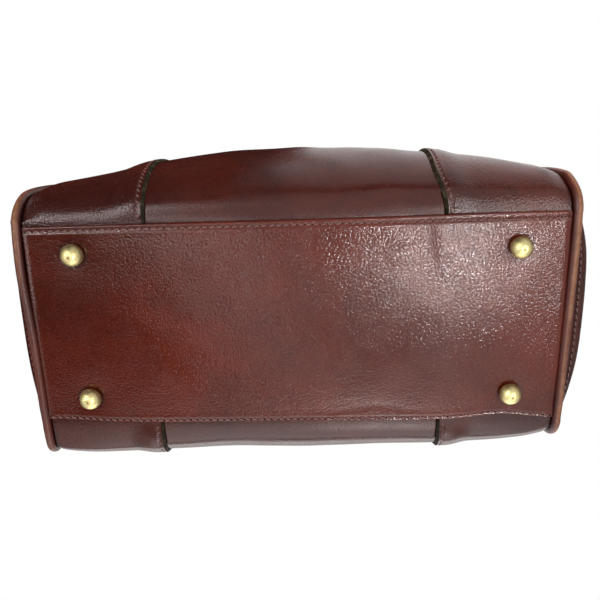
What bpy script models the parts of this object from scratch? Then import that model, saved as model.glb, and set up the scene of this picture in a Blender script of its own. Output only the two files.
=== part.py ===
"""Zip-top leather handbag that stands on four domed brass feet.

It is built as such a bag is sewn: a flat base panel under a stiff board, three lapped panels
on each side, two end gussets set in corded piping, a cloth lining, a recessed zip closure and
two rolled handles on brass rings. Lengths are in metres, +Z is up, the front is -Y, the length
runs along X, and the feet stand on z = 0.
"""

import functools
import math

import bmesh
import bpy
from mathutils import Vector

# Clearance left between pieces that touch, and how far a cutter runs past what it cuts
GAP = 0.0003
OVERRUN = 0.001

# Body
PANEL_LENGTH = 0.330
BASE_STITCH_DEPTH = 0.1326
BELLY_DEPTH = 0.2055
BELLY_DEPTH_AT_ENDS = 0.173
MOUTH_DEPTH = 0.084
BELLY_HEIGHT_FRONT = 0.072
BELLY_HEIGHT_BACK = 0.050
BELLY_HEIGHT_AT_ENDS = 0.030
BODY_HEIGHT = 0.229
SWELL_POWER = 1.6
CORNER_POWER_FRONT = 1.0
CORNER_POWER_BACK = 0.78
LEAN_POWER = 1.6

# Leather, board and cloth
LEATHER = 0.0020
FACING_LEATHER = 0.0015
FACING_HEIGHT = 0.026
FACING_END_MARGIN = 0.0044
LINING = 0.0008
BOARD = 0.0030
BOARD_END_MARGIN = 0.002
FRONT_LIP = 0.0045
BACK_LIP = 0.0020
BASE_EDGE_ROUND = 0.0005
FLANGE_WIDTH = 0.0075
CORNER_SETBACK = 0.0017

# Lapped seams between the centre and the side panels
SIDE_PANEL_WIDTH = 0.073
LAP_WIDTH = 0.008
LAP_FADE = 0.016

# Piping and gussets
PIPING_RADIUS = 0.0025
PIPING_PROUD = 0.0013
PIPING_BLEND = 0.012
GUSSET_BULGE = 0.020
GUSSET_TOP_BULGE_SHARE = 0.25
GUSSET_LOW_BULGE_POWER = 0.45

# Feet, each with a washer inside
FOOT_HEIGHT = 0.009
FOOT_RADIUS = 0.007
FOOT_TIP_RADIUS = 0.0018
FOOT_NECK_RADIUS = 0.0046
FOOT_SHANK_RADIUS = 0.0016
FOOT_INSET_X = 0.0282
FOOT_INSET_Y = 0.0176
WASHER_RADIUS = 0.0055
WASHER_THICKNESS = 0.0008

# Handle rings and the leather chapes that hold them
HANDLE_SPACING = 0.144
CHAPE_WIDTH = 0.022
CHAPE_LEATHER = 0.0016
CHAPE_DROP = 0.046
RING_BELOW_MOUTH = 0.032
RING_WIRE_RADIUS = 0.0016
RING_SIDE_ROOM = 0.001
RING_CORNER_RADIUS = 0.0026
RING_SPAN = 0.016

# Rolled handles
HANDLE_RADIUS = 0.006
HANDLE_WALL = 0.0015
HANDLE_RISE = 0.108
HANDLE_END_LIFT = 0.009
HANDLE_LOOP_WIDTH = 0.014
HANDLE_LOOP_GRIP = 0.014
ARCH_POWER = 0.85

# Recessed zip closure
ZIP_RECESS = 0.020
FLAP_LEATHER = 0.0015
FLAP_HALF_LENGTH = 0.128
FLAP_TO_TEETH = 0.0044
TEETH_WIDTH = 0.0020
TEETH_HEIGHT = 0.0027
TEETH_SLOT = 0.0012
TAPE_THICKNESS = 0.0006
TAPE_UNDER_FLAP = 0.007
ZIP_END_SLOT_MARGIN = 0.008

# Zip slider and pull
SLIDER_LENGTH = 0.013
SLIDER_PLATE = 0.0012
SLIDER_LIP = 0.001
SLIDER_PARKED_X = 0.140
BAIL_WIDTH = 0.002
BAIL_THICKNESS = 0.0012
PULL_LENGTH = 0.022
PULL_WIDTH = 0.0075
PULL_THICKNESS = 0.0012
PULL_BAR = 0.0014
PULL_ARM = 0.0013

# How finely round and curved pieces are divided
FOOT_SIDES = 16
PIPING_SIDES = 8
HANDLE_SIDES = 8
CORE_SIDES = 6
RING_SIDES = 8
RING_CORNER_STEPS = 3
ARCH_STEPS = 24
STRAP_TURN_STEPS = 8
BULGE_COLUMNS = 8
SMALL_STEP_SHARE = 0.001
CORNER_SHARES = (0.12, 0.25, 0.4, 0.6, 0.8, 1.0)
RISE_SHARES = (0.1, 0.25, 0.45, 0.65, 0.85, 1.0)
CENTRE_SHARES = (-1.0, -0.75, -0.5, -0.25, 0.0, 0.25, 0.5, 0.75, 1.0)
DOME_STEPS = 5

# Worked out from the sizes above
PANEL_END = PANEL_LENGTH / 2
BASE_Z = FOOT_HEIGHT
BASE_TOP = BASE_Z + LEATHER
WALL_FOOT_Z = BASE_TOP + GAP
MOUTH_Z = BASE_Z + BODY_HEIGHT
MOUTH_HALF = MOUTH_DEPTH / 2
STITCH_Y = BASE_STITCH_DEPTH / 2
CORNER_START = STITCH_Y + CORNER_SETBACK
FLANGE_INNER = CORNER_START - FLANGE_WIDTH
BOARD_TOP = BASE_TOP + GAP + BOARD
WASHER_Z = BOARD_TOP + GAP
WASHER_TOP = WASHER_Z + WASHER_THICKNESS
LINING_FLOOR = WASHER_TOP + GAP
LAP_X = PANEL_END - SIDE_PANEL_WIDTH
LAP_OFFSET = LEATHER + GAP
FACING_FOOT_Z = MOUTH_Z - FACING_HEIGHT
INNER_LAYER = LEATHER + GAP
PIPING_X = PANEL_END + GAP + PIPING_RADIUS
PIPING_DEPTH = PIPING_RADIUS - PIPING_PROUD
GUSSET_INSET = PIPING_RADIUS + GAP
ZIP_Z = MOUTH_Z - ZIP_RECESS
RING_BAR_Z = MOUTH_Z - RING_BELOW_MOUTH
MIDDLE = Vector((0, 0, MOUTH_Z / 2))
FRONT = -1
BACK = 1
SIDES = ((FRONT, "front"), (BACK, "back"))
ENDS = ((-1, "left"), (1, "right"))
BELLY_HEIGHTS = {FRONT: BELLY_HEIGHT_FRONT, BACK: BELLY_HEIGHT_BACK}
CORNER_POWERS = {FRONT: CORNER_POWER_FRONT, BACK: CORNER_POWER_BACK}


# Materials
def material(name, colour, roughness, metallic=0.0):
    made = bpy.data.materials.new(name)
    made.use_nodes = True
    shader = made.node_tree.nodes["Principled BSDF"]
    shader.inputs["Base Color"].default_value = (*colour, 1.0)
    shader.inputs["Roughness"].default_value = roughness
    shader.inputs["Metallic"].default_value = metallic
    made.diffuse_color = (*colour, 1.0)
    return made


def leather(name):
    return material(name + "_leather", (0.105, 0.024, 0.017), 0.38)


def worn_leather(name):
    return material(name + "_worn_leather", (0.22, 0.065, 0.035), 0.45)


def brass(name):
    return material(name + "_brass", (0.42, 0.32, 0.14), 0.34, 1.0)


def cloth(name):
    return material(name + "_cloth", (0.09, 0.06, 0.045), 0.9)


def board(name):
    return material(name + "_board", (0.16, 0.12, 0.08), 0.85)


# Meshes
def placed(name, bm, finish, origin=(0, 0, 0), smooth=True):
    """Turns a bmesh in world space into an object whose origin is at the given place."""
    bmesh.ops.recalc_face_normals(bm, faces=bm.faces)
    if bm.calc_volume(signed=True) < 0:
        bmesh.ops.reverse_faces(bm, faces=bm.faces)
    bmesh.ops.translate(bm, verts=bm.verts, vec=-Vector(origin))
    mesh = bpy.data.meshes.new(name)
    bm.to_mesh(mesh)
    bm.free()
    if smooth:
        mesh.shade_smooth()
        mesh.set_sharp_from_angle(angle=math.radians(35))
    mesh.materials.append(finish(name))
    made = bpy.data.objects.new(name, mesh)
    made.location = origin
    bpy.context.scene.collection.objects.link(made)
    return made


def fill(bm, a, b, c, d):
    """Two triangles between four corners, split so that they bulge away from the bag's middle."""
    if (a.co + c.co - 2 * MIDDLE).length < (b.co + d.co - 2 * MIDDLE).length:
        a, b, c, d = b, c, d, a
    bm.faces.new((a, b, c))
    bm.faces.new((a, c, d))


def sheet(name, outside, inside, finish, origin=(0, 0, 0)):
    """A closed sheet between two grids of points, each given as rows of equal length."""
    bm = bmesh.new()
    skins = [[[bm.verts.new(point) for point in row] for row in grid] for grid in (outside, inside)]
    last_row = len(outside) - 1
    last_column = len(outside[0]) - 1
    for skin in skins:
        for i in range(last_row):
            for j in range(last_column):
                fill(bm, skin[i][j], skin[i][j + 1], skin[i + 1][j + 1], skin[i + 1][j])
    border = [(0, j) for j in range(last_column)]
    border += [(i, last_column) for i in range(last_row)]
    border += [(last_row, j) for j in range(last_column, 0, -1)]
    border += [(i, 0) for i in range(last_row, 0, -1)]
    for here, there in zip(border, border[1:] + border[:1]):
        corners = [skins[0][here[0]][here[1]], skins[0][there[0]][there[1]]]
        corners += [skins[1][there[0]][there[1]], skins[1][here[0]][here[1]]]
        bm.faces.new(corners)
    return placed(name, bm, finish, origin)


def lofted(name, loops, finish, origin=(0, 0, 0), round_trip=False, smooth=True):
    """A closed skin through equal loops of points, capped at both ends or joined end to end."""
    bm = bmesh.new()
    rings = [[bm.verts.new(point) for point in loop] for loop in loops]
    pairs = list(zip(rings, rings[1:]))
    if round_trip:
        pairs.append((rings[-1], rings[0]))
    else:
        bm.faces.new(rings[0])
        bm.faces.new(rings[-1])
    for low, high in pairs:
        for k in range(len(low)):
            after = (k + 1) % len(low)
            fill(bm, low[k], low[after], high[after], high[k])
    return placed(name, bm, finish, origin, smooth)


def prism_along_x(name, outline, low, high, finish, origin=(0, 0, 0)):
    """An outline of (y, z) points drawn out along X."""
    loops = [[(x, y, z) for y, z in outline] for x in (low, high)]
    return lofted(name, loops, finish, origin, smooth=False)


def prism_along_z(name, outline, low, high, finish, origin=(0, 0, 0)):
    """An outline of (x, y) points drawn out along Z."""
    loops = [[(x, y, z) for x, y in outline] for z in (low, high)]
    return lofted(name, loops, finish, origin, smooth=False)


def circles_along(path, across, radius, sides, closed=False):
    """Circles round a flat path of points, square to it; across is the normal of its plane."""
    loops = []
    for i, point in enumerate(path):
        before = path[i - 1] if i or closed else point
        after = path[(i + 1) % len(path)] if i + 1 < len(path) or closed else point
        side = (after - before).normalized().cross(across)
        turns = [2 * math.pi * k / sides for k in range(sides)]
        loops.append([point + radius * (math.cos(a) * side + math.sin(a) * across) for a in turns])
    return loops


def turned(name, profile, centre, sides, finish):
    """A solid of revolution about the vertical through centre, from (radius, z) points."""
    cx, cy = centre
    turns = [2 * math.pi * k / sides for k in range(sides)]
    loops = [[(cx + r * math.cos(a), cy + r * math.sin(a), z) for a in turns] for r, z in profile]
    return lofted(name, loops, finish)


def cutter(made):
    made.hide_render = True
    made.display_type = "WIRE"
    return made


def combine(target, tool, operation):
    change = target.modifiers.new(tool.name, "BOOLEAN")
    change.operation = operation
    change.solver = "EXACT"
    change.object = cutter(tool)


# Form of the body
def eased(share):
    """0 to 1 with a level start and end."""
    share = min(max(share, 0.0), 1.0)
    return share * share * (3 - 2 * share)


def swell(x):
    """0 at mid length, 1 at the ends, as the walls draw in."""
    return min(abs(x) / PANEL_END, 1.0) ** SWELL_POWER


def belly_half(x):
    """Half the depth at the widest level."""
    return (BELLY_DEPTH + (BELLY_DEPTH_AT_ENDS - BELLY_DEPTH) * swell(x)) / 2


def belly_z(side, x):
    """Height of the widest level."""
    middle = BELLY_HEIGHTS[side]
    return BASE_Z + middle + (BELLY_HEIGHT_AT_ENDS - middle) * swell(x)


def outer(side, x, v):
    """(y, z) on a wall's outer face, y counted outwards.

    v is below 0 on the flange under the base panel, 0 to 1 round the lower corner up to the
    widest level, and 1 to 2 from there to the mouth.
    """
    widest = belly_half(x)
    middle_z = belly_z(side, x)
    if v <= 0:
        return CORNER_START + v * FLANGE_WIDTH, WALL_FOOT_Z
    if v <= 1:
        angle = v * math.pi / 2
        out = math.sin(angle) ** CORNER_POWERS[side]
        up = 1 - max(math.cos(angle), 0.0) ** CORNER_POWERS[side]
        y = CORNER_START + (widest - CORNER_START) * out
        return y, WALL_FOOT_Z + (middle_z - WALL_FOOT_Z) * up
    rise = v - 1
    return widest - (widest - MOUTH_HALF) * rise**LEAN_POWER, middle_z + (MOUTH_Z - middle_z) * rise


def level(side, x, z):
    """The v of a height above the widest level."""
    middle_z = belly_z(side, x)
    return 1 + (z - middle_z) / (MOUTH_Z - middle_z)


def wall_direction(side, x, v):
    """Unit (y, z) along a wall's section, from the base towards the mouth."""
    before = outer(side, x, v - SMALL_STEP_SHARE)
    after = outer(side, x, v + SMALL_STEP_SHARE)
    return Vector((after[0] - before[0], after[1] - before[1])).normalized()


def wall_point(side, x, v, depth):
    """(y, z) at a depth behind the outer face, square to it; a depth below 0 is in front."""
    along = wall_direction(side, x, v)
    y, z = outer(side, x, v)
    return y - along.y * depth, z + along.x * depth


def wall_rows():
    return [-1.0, 0.0, *CORNER_SHARES, *(1 + share for share in RISE_SHARES)]


def spread(low, high, count):
    return [low + (high - low) * k / (count - 1) for k in range(count)]


# Base
def foot_places():
    """Name, x and y of each foot."""
    x = PANEL_END - FOOT_INSET_X
    y = STITCH_Y - FOOT_INSET_Y
    for end, end_x in (("left", -x), ("right", x)):
        yield "front_" + end, end_x, -y
        yield "back_" + end, end_x, y


def drill_for_feet(plate, low, high):
    """Holes for the four shanks, through a plate that lies between two heights."""
    radius = FOOT_SHANK_RADIUS + GAP
    for place, x, y in foot_places():
        profile = [(radius, low - OVERRUN), (radius, high + OVERRUN)]
        drill = turned(plate.name + "_drill_" + place, profile, (x, y), FOOT_SIDES, board)
        combine(plate, drill, "DIFFERENCE")


def base_panel():
    front = STITCH_Y + FRONT_LIP
    back = STITCH_Y + BACK_LIP
    r = BASE_EDGE_ROUND
    outline = [
        (-front + r, BASE_Z),
        (back - r, BASE_Z),
        (back, BASE_Z + r),
        (back, BASE_TOP),
        (-front, BASE_TOP),
        (-front, BASE_Z + r),
    ]
    made = prism_along_x("base_panel", outline, -PANEL_END, PANEL_END, leather)
    drill_for_feet(made, BASE_Z, BASE_TOP)


def base_board():
    end = PANEL_END - BOARD_END_MARGIN
    side = FLANGE_INNER - GAP
    low = BASE_TOP + GAP
    outline = [(-side, low), (side, low), (side, BOARD_TOP), (-side, BOARD_TOP)]
    made = prism_along_x("base_board", outline, -end, end, board)
    drill_for_feet(made, low, BOARD_TOP)


def feet():
    neck_top = BASE_Z - GAP
    dome = []
    dome_height = FOOT_RADIUS
    tip_angle = math.asin(FOOT_TIP_RADIUS / FOOT_RADIUS)
    sink = dome_height * math.cos(tip_angle)
    for k in range(DOME_STEPS + 1):
        angle = tip_angle + (math.pi / 2 - tip_angle) * k / DOME_STEPS
        dome.append((FOOT_RADIUS * math.sin(angle), sink - dome_height * math.cos(angle)))
    under = sink + (neck_top - sink) / 2
    profile = dome + [
        (FOOT_NECK_RADIUS + (FOOT_RADIUS - FOOT_NECK_RADIUS) / 2, under),
        (FOOT_NECK_RADIUS, under),
        (FOOT_NECK_RADIUS, neck_top),
        (FOOT_SHANK_RADIUS, neck_top),
        (FOOT_SHANK_RADIUS, WASHER_TOP),
    ]
    for place, x, y in foot_places():
        turned("foot_" + place, profile, (x, y), FOOT_SIDES, brass)
        hole = FOOT_SHANK_RADIUS + GAP
        section = [
            (WASHER_RADIUS, WASHER_Z),
            (WASHER_RADIUS, WASHER_TOP),
            (hole, WASHER_TOP),
            (hole, WASHER_Z),
        ]
        turns = [2 * math.pi * k / FOOT_SIDES for k in range(FOOT_SIDES)]
        loops = [[(x + r * math.cos(a), y + r * math.sin(a), z) for r, z in section] for a in turns]
        lofted("foot_washer_" + place, loops, brass, round_trip=True)


# Walls
def lap_lift(x, v):
    """How far a side panel stands out where it lies over the centre panel."""
    fade = eased(1 - (abs(x) - LAP_X - LAP_WIDTH - GAP) / LAP_FADE)
    return LAP_OFFSET * fade * eased(v / CORNER_SHARES[1])


def centre_edge(v):
    """Where the centre panel ends: butted at the base, tucked under the side panel above it."""
    start, full = CORNER_SHARES[1], CORNER_SHARES[2]
    return LAP_X - GAP + (LAP_WIDTH + GAP) * eased((v - start) / (full - start))


def panel(name, side, columns_at, lift):
    """A wall panel: columns_at gives the x of its columns for a row, lift how far it stands out."""

    def grid(depth):
        rows = []
        for v in wall_rows():
            row = []
            for x in columns_at(v):
                y, z = wall_point(side, x, v, depth - lift(x, v))
                row.append((x, side * y, z))
            rows.append(row)
        return rows

    sheet(name, grid(0.0), grid(LEATHER), leather)


def side_columns():
    lap_end = LAP_X + LAP_WIDTH + GAP
    shares = (0.25, 0.5, 0.75, 1.0)
    columns = [LAP_X, lap_end] + [lap_end + LAP_FADE * share for share in shares]
    return columns + spread(columns[-1], PANEL_END, 4)[1:]


def walls():
    for side, name in SIDES:
        panel(
            name + "_centre_panel",
            side,
            lambda v: [share * centre_edge(v) for share in CENTRE_SHARES],
            lambda x, v: 0.0,
        )
        for end, place in ENDS:
            columns = [end * x for x in side_columns()]
            panel(f"{name}_{place}_panel", side, lambda v, c=columns: c, lap_lift)


# Ends
def piping_section(side):
    """(y, z) of the piping's centre line from the middle of the base up one wall's edge."""
    base_z = BASE_Z + PIPING_DEPTH
    start_y = CORNER_START - PIPING_BLEND
    points = [(0.0, base_z), (start_y / 2, base_z), (start_y, base_z)]
    for v in wall_rows()[1:]:
        y, z = wall_point(side, PANEL_END, v, PIPING_DEPTH)
        blend = 1 if v > 1 else eased((y - start_y) / (2 * PIPING_BLEND))
        points.append((y, base_z + (z - base_z) * blend))
    return points


def inset(points, distance):
    """The same polyline moved to its left by a distance."""
    moved = []
    for i, (y, z) in enumerate(points):
        before = points[max(i - 1, 0)]
        after = points[min(i + 1, len(points) - 1)]
        along = Vector((after[0] - before[0], after[1] - before[1])).normalized()
        moved.append((y - along.y * distance, z + along.x * distance))
    return moved


@functools.cache
def gusset_edge(side):
    """(y, z) along one upright edge of a gusset, y counted outwards, from the base up."""
    return inset(piping_section(side), GUSSET_INSET)[2:]


def edge_at(side, z):
    """How far out a gusset's edge is at a height."""
    points = gusset_edge(side)
    for (y0, z0), (y1, z1) in zip(points, points[1:]):
        if z <= z1:
            return y0 + (y1 - y0) * max((z - z0) / (z1 - z0), 0.0)
    return points[-1][0]


def bulge(y, z):
    """How far a gusset stands out at a place."""
    front, back = -edge_at(FRONT, z), edge_at(BACK, z)
    across = max(1 - ((2 * y - front - back) / (back - front)) ** 2, 0.0)
    low, high = gusset_edge(FRONT)[0][1], gusset_edge(FRONT)[-1][1]
    height = min(max((z - low) / (high - low), 0.0), 1.0)
    top = GUSSET_TOP_BULGE_SHARE * height
    return GUSSET_BULGE * across * (math.sin(math.pi * height**GUSSET_LOW_BULGE_POWER) * (1 - top) + top)


def pipings():
    front = [(-y, z) for y, z in reversed(piping_section(FRONT))]
    outline = front + piping_section(BACK)[1:]
    for end, place in ENDS:
        path = [Vector((end * PIPING_X, y, z)) for y, z in outline]
        loops = circles_along(path, Vector((1, 0, 0)), PIPING_RADIUS, PIPING_SIDES)
        lofted("piping_" + place, loops, worn_leather)


def end_sheet(name, end, rows, inner_x, thickness, finish):
    """A sheet across one end that follows the gusset's bulge; each row is its front and back point."""

    def grid(x):
        made = []
        for (y0, z0), (y1, z1) in rows:
            row = []
            for share in spread(0.0, 1.0, BULGE_COLUMNS + 1):
                y, z = y0 + (y1 - y0) * share, z0 + (z1 - z0) * share
                row.append((end * (x + bulge(y, z)), y, z))
            made.append(row)
        return made

    sheet(name, grid(inner_x + thickness), grid(inner_x), finish)


def gussets():
    front = [(-y, z) for y, z in gusset_edge(FRONT)]
    rows = list(zip(front, gusset_edge(BACK)))
    inner_x = PIPING_X - LEATHER
    facing_x = inner_x - GAP - FACING_LEATHER
    heights = (FACING_FOOT_Z, ZIP_Z, front[-1][1])
    facing_rows = [((GAP - edge_at(FRONT, z), z), (edge_at(BACK, z) - GAP, z)) for z in heights]
    for end, place in ENDS:
        end_sheet("gusset_" + place, end, rows, inner_x, LEATHER, leather)
        end_sheet("gusset_facing_" + place, end, facing_rows, facing_x, FACING_LEATHER, leather)


# Lining and mouth
def lining_rows():
    """The v of each row of the lining above its floor; the last one stops under the facing."""
    rises = [1 + share for share in RISE_SHARES[:-2] + RISE_SHARES[-1:]]
    return [v for v in CORNER_SHARES if lowest_lining(v) > LINING_FLOOR + LINING] + rises


def lowest_lining(v):
    return min(wall_point(side, x, v, INNER_LAYER)[1] for side, _ in SIDES for x in (0.0, PANEL_END))


def inner_columns(end):
    """The x of the columns of what lies behind a wall, from end to end."""
    middle = [(LAP_X + LAP_WIDTH) * share for share in CENTRE_SHARES]
    side = [*side_columns()[-4:-1], end]
    return [-x for x in reversed(side)] + middle + side


def lining_edge(side, row, skin):
    """Points along one wall from left to right, for one row of the lining; row None is its floor."""
    points = []
    for x in inner_columns(PANEL_END - GAP - skin):
        v = min(row or lining_rows()[0], level(side, x, FACING_FOOT_Z - GAP))
        y, z = wall_point(side, x, v, INNER_LAYER + skin)
        if row is None:
            y, z = min(y, CORNER_START + LINING), LINING_FLOOR + skin
        points.append((x, side * y, z))
    return points


def lining_loop(row, skin):
    """One loop of the lining, skin counted from its outer face."""
    front = lining_edge(FRONT, row, skin)
    back = lining_edge(BACK, row, skin)

    def across(start, stop):
        points = []
        for share in spread(0.0, 1.0, BULGE_COLUMNS + 1)[1:-1]:
            x, y, z = (a + (b - a) * share for a, b in zip(start, stop))
            points.append((x + math.copysign(bulge(y, z), x), y, z))
        return points

    right = across(front[-1], back[-1])
    left = across(back[0], front[0])
    return front + right + back[::-1] + left


def lining():
    rows = [None, *lining_rows()]
    outside = [lining_loop(row, 0.0) for row in rows]
    inside = [lining_loop(row, LINING) for row in reversed(rows)]
    lofted("lining", outside + inside, cloth)


def facings():
    columns = inner_columns(PANEL_END - FACING_END_MARGIN)
    for side, name in SIDES:
        grids = []
        for depth in (INNER_LAYER, INNER_LAYER + FACING_LEATHER):
            grid = []
            for height in (FACING_FOOT_Z, ZIP_Z, MOUTH_Z):
                places = [(x, wall_point(side, x, level(side, x, height), depth)) for x in columns]
                grid.append([(x, side * y, z) for x, (y, z) in places])
            grids.append(grid)
        sheet("facing_" + name, grids[0], grids[1], leather)


# Zip closure
def flap_hinge_y(side):
    """The flap turns about the middle of its rounded outer edge, a gap clear of the facing."""
    depth = INNER_LAYER + FACING_LEATHER + GAP + FLAP_LEATHER / 2
    x = FLAP_HALF_LENGTH
    v = level(side, x, ZIP_Z)
    return outer(side, x, v)[0] - depth / wall_direction(side, x, v).y


def teeth_span():
    """Inner and outer y of one row of teeth."""
    return TEETH_SLOT / 2, TEETH_SLOT / 2 + TEETH_WIDTH


def tape_heights():
    top = ZIP_Z - FLAP_LEATHER / 2 - GAP
    return top - TAPE_THICKNESS, top


def teeth_heights():
    middle = sum(tape_heights()) / 2
    return middle - TEETH_HEIGHT / 2, middle + TEETH_HEIGHT / 2


def flap_inner_y():
    return teeth_span()[1] + FLAP_TO_TEETH


def box_outline(y_low, y_high, z_low, z_high):
    return [(y_low, z_low), (y_high, z_low), (y_high, z_high), (y_low, z_high)]


def zip_flaps():
    radius = FLAP_LEATHER / 2
    turns = [math.pi * k / 6 - math.pi / 2 for k in range(7)]
    tape = box_outline(teeth_span()[1] + GAP, flap_inner_y() + TAPE_UNDER_FLAP, *tape_heights())
    teeth = box_outline(*teeth_span(), *teeth_heights())
    for side, name in SIDES:
        hinge = flap_hinge_y(side)
        edge = [(hinge + radius * math.cos(a), ZIP_Z + radius * math.sin(a)) for a in turns]
        strip = [(flap_inner_y(), ZIP_Z + radius), (flap_inner_y(), ZIP_Z - radius), *edge]
        for part, outline, finish in (
            ("zip_flap", strip, leather),
            ("zip_tape", tape, cloth),
            ("zip_teeth", teeth, brass),
        ):
            places = [(side * y, z) for y, z in outline]
            length = FLAP_HALF_LENGTH
            origin = (0.0, side * hinge, ZIP_Z)
            prism_along_x(f"{name}_{part}", places, -length, length, finish, origin)


def zip_end_outline(end, front, back, slot_half, slot_end):
    """Plan of a fixed zip end: a plate with a slot open towards the flaps."""
    inner = FLAP_HALF_LENGTH + GAP
    outer_x = PIPING_X - LEATHER - 2 * GAP - FACING_LEATHER
    curve = [(outer_x + bulge(y, ZIP_Z), y) for y in spread(-front, back, BULGE_COLUMNS + 1)]
    slot = [(inner, slot_half), (slot_end, slot_half), (slot_end, -slot_half), (inner, -slot_half)]
    outline = [(inner, -front), *curve, (inner, back), *slot]
    return [(end * x, y) for x, y in outline]


def zip_ends():
    slot_end = SLIDER_PARKED_X + SLIDER_LENGTH / 2 + ZIP_END_SLOT_MARGIN
    reach = [min(flap_hinge_y(side), edge_at(side, ZIP_Z)) - FLAP_LEATHER for side, _ in SIDES]
    tape_half = flap_inner_y() + TAPE_UNDER_FLAP
    radius = FLAP_LEATHER / 2
    low, high = tape_heights()
    for end, place in ENDS:
        leather_plan = zip_end_outline(end, *reach, flap_inner_y(), slot_end)
        prism_along_z("zip_end_" + place, leather_plan, ZIP_Z - radius, ZIP_Z + radius, leather)
        tape_plan = zip_end_outline(end, tape_half, tape_half, teeth_span()[0], slot_end)
        prism_along_z("zip_end_tape_" + place, tape_plan, low, high, cloth)


def pull_axis_z():
    reach = math.hypot(PULL_BAR, PULL_THICKNESS) / 2
    return teeth_heights()[1] + GAP + SLIDER_PLATE + GAP + reach


def zip_slider():
    low, high = teeth_heights()
    tape_low, tape_high = tape_heights()
    web = teeth_span()[0] - GAP
    lip_in = teeth_span()[1] + GAP
    lip_out = lip_in + SLIDER_LIP
    half = [
        (web, low - GAP),
        (lip_in, low - GAP),
        (lip_in, tape_low - GAP),
        (lip_out, tape_low - GAP),
        (lip_out, low - GAP - SLIDER_PLATE),
    ]
    top_half = [
        (lip_out, high + GAP + SLIDER_PLATE),
        (lip_out, tape_high + GAP),
        (lip_in, tape_high + GAP),
        (lip_in, high + GAP),
        (web, high + GAP),
    ]
    right = top_half + half
    outline = right + [(-y, z) for y, z in reversed(right)]
    start = SLIDER_PARKED_X - SLIDER_LENGTH / 2
    made = prism_along_x("zip_slider", outline, start, start + SLIDER_LENGTH, brass)
    centre = pull_axis_z()
    reach = math.hypot(PULL_BAR, PULL_THICKNESS) / 2 + GAP
    foot = high + GAP + SLIDER_PLATE / 2
    turns = [math.pi * k / STRAP_TURN_STEPS for k in range(STRAP_TURN_STEPS + 1)]
    arch = [(reach + BAIL_THICKNESS, foot)]
    arch += [
        ((reach + BAIL_THICKNESS) * math.cos(a), centre + (reach + BAIL_THICKNESS) * math.sin(a))
        for a in turns
    ]
    arch += [(-reach - BAIL_THICKNESS, foot), (-reach, foot)]
    arch += [(-reach * math.cos(a), centre + reach * math.sin(a)) for a in turns]
    arch += [(reach, foot)]
    loops = [[(SLIDER_PARKED_X + x, y, z) for x, z in arch] for y in (-BAIL_WIDTH / 2, BAIL_WIDTH / 2)]
    combine(made, lofted("zip_slider_bail", loops, brass, smooth=False), "UNION")


def zip_pull():
    centre = pull_axis_z()
    eye_half = BAIL_WIDTH / 2 + GAP
    arm_half = eye_half + PULL_ARM
    reach = math.hypot(PULL_BAR, PULL_THICKNESS) / 2 + 2 * GAP + BAIL_THICKNESS
    eye_end = reach + GAP
    tip_x = PULL_LENGTH
    tip_half = PULL_WIDTH / 2
    plan = [
        (-PULL_BAR / 2, arm_half),
        (eye_end + PULL_ARM, arm_half),
        (tip_x - tip_half, tip_half),
    ]
    plan += [
        (tip_x - tip_half + tip_half * math.sin(a), tip_half * math.cos(a))
        for a in (math.pi * k / 6 for k in range(1, 6))
    ]
    plan += [(tip_x - tip_half, -tip_half), (eye_end + PULL_ARM, -arm_half), (-PULL_BAR / 2, -arm_half)]
    plate = [(SLIDER_PARKED_X - x, y) for x, y in plan]
    heights = (centre - PULL_THICKNESS / 2, centre + PULL_THICKNESS / 2)
    origin = (SLIDER_PARKED_X, 0.0, centre)
    made = prism_along_z("zip_pull", plate, *heights, brass, origin)
    hole = [(PULL_BAR / 2, -eye_half), (eye_end, -eye_half), (eye_end, eye_half), (PULL_BAR / 2, eye_half)]
    hole = [(SLIDER_PARKED_X - x, y) for x, y in hole]
    eye = prism_along_z("zip_pull_eye", hole, heights[0] - OVERRUN, heights[1] + OVERRUN, brass, origin)
    combine(made, eye, "DIFFERENCE")


# Rings, chapes and handles
def strap(name, path, thickness, low, high, finish, origin=(0, 0, 0)):
    """A strap of one thickness along a path of (y, z) points, drawn out along X."""
    near = inset(path, -thickness / 2)
    far = inset(path, thickness / 2)
    return prism_along_x(name, near + far[::-1], low, high, finish, origin)


def turn_radius():
    """Radius of a strap's middle where it goes round a ring's wire."""
    return RING_WIRE_RADIUS + GAP + CHAPE_LEATHER / 2


def chape_wall_x():
    """The x under a chape where the wall stands out most."""
    return HANDLE_SPACING / 2 - CHAPE_WIDTH / 2


def chape_point(side, z, depth):
    x = chape_wall_x()
    return Vector(wall_point(side, x, level(side, x, z), depth))


def ring_bar(side):
    """(y, z) of the ring's lower bar, y counted outwards."""
    return chape_point(side, RING_BAR_Z, -(GAP + CHAPE_LEATHER / 2 + turn_radius()))


def chape_path(side):
    """The chape's strap: up the wall, over the ring's bar and back down over itself."""
    centre = ring_bar(side)
    foot = chape_point(side, RING_BAR_Z, 0.0)
    out = (centre - foot).normalized()
    up = Vector((-out.y, out.x))
    radius = turn_radius()
    inner = GAP + CHAPE_LEATHER / 2
    over = inner + CHAPE_LEATHER + GAP
    heights = spread(RING_BAR_Z - CHAPE_DROP, RING_BAR_Z - 2 * radius, 5)
    path = [chape_point(side, z, -inner) for z in heights]
    for k in range(STRAP_TURN_STEPS + 1):
        angle = math.pi * 1.2 * k / STRAP_TURN_STEPS
        path.append(centre + radius * (-math.cos(angle) * out + math.sin(angle) * up))
    path += [chape_point(side, z, -over) for z in reversed(heights)]
    return [(point.x, point.y) for point in path]


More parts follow.
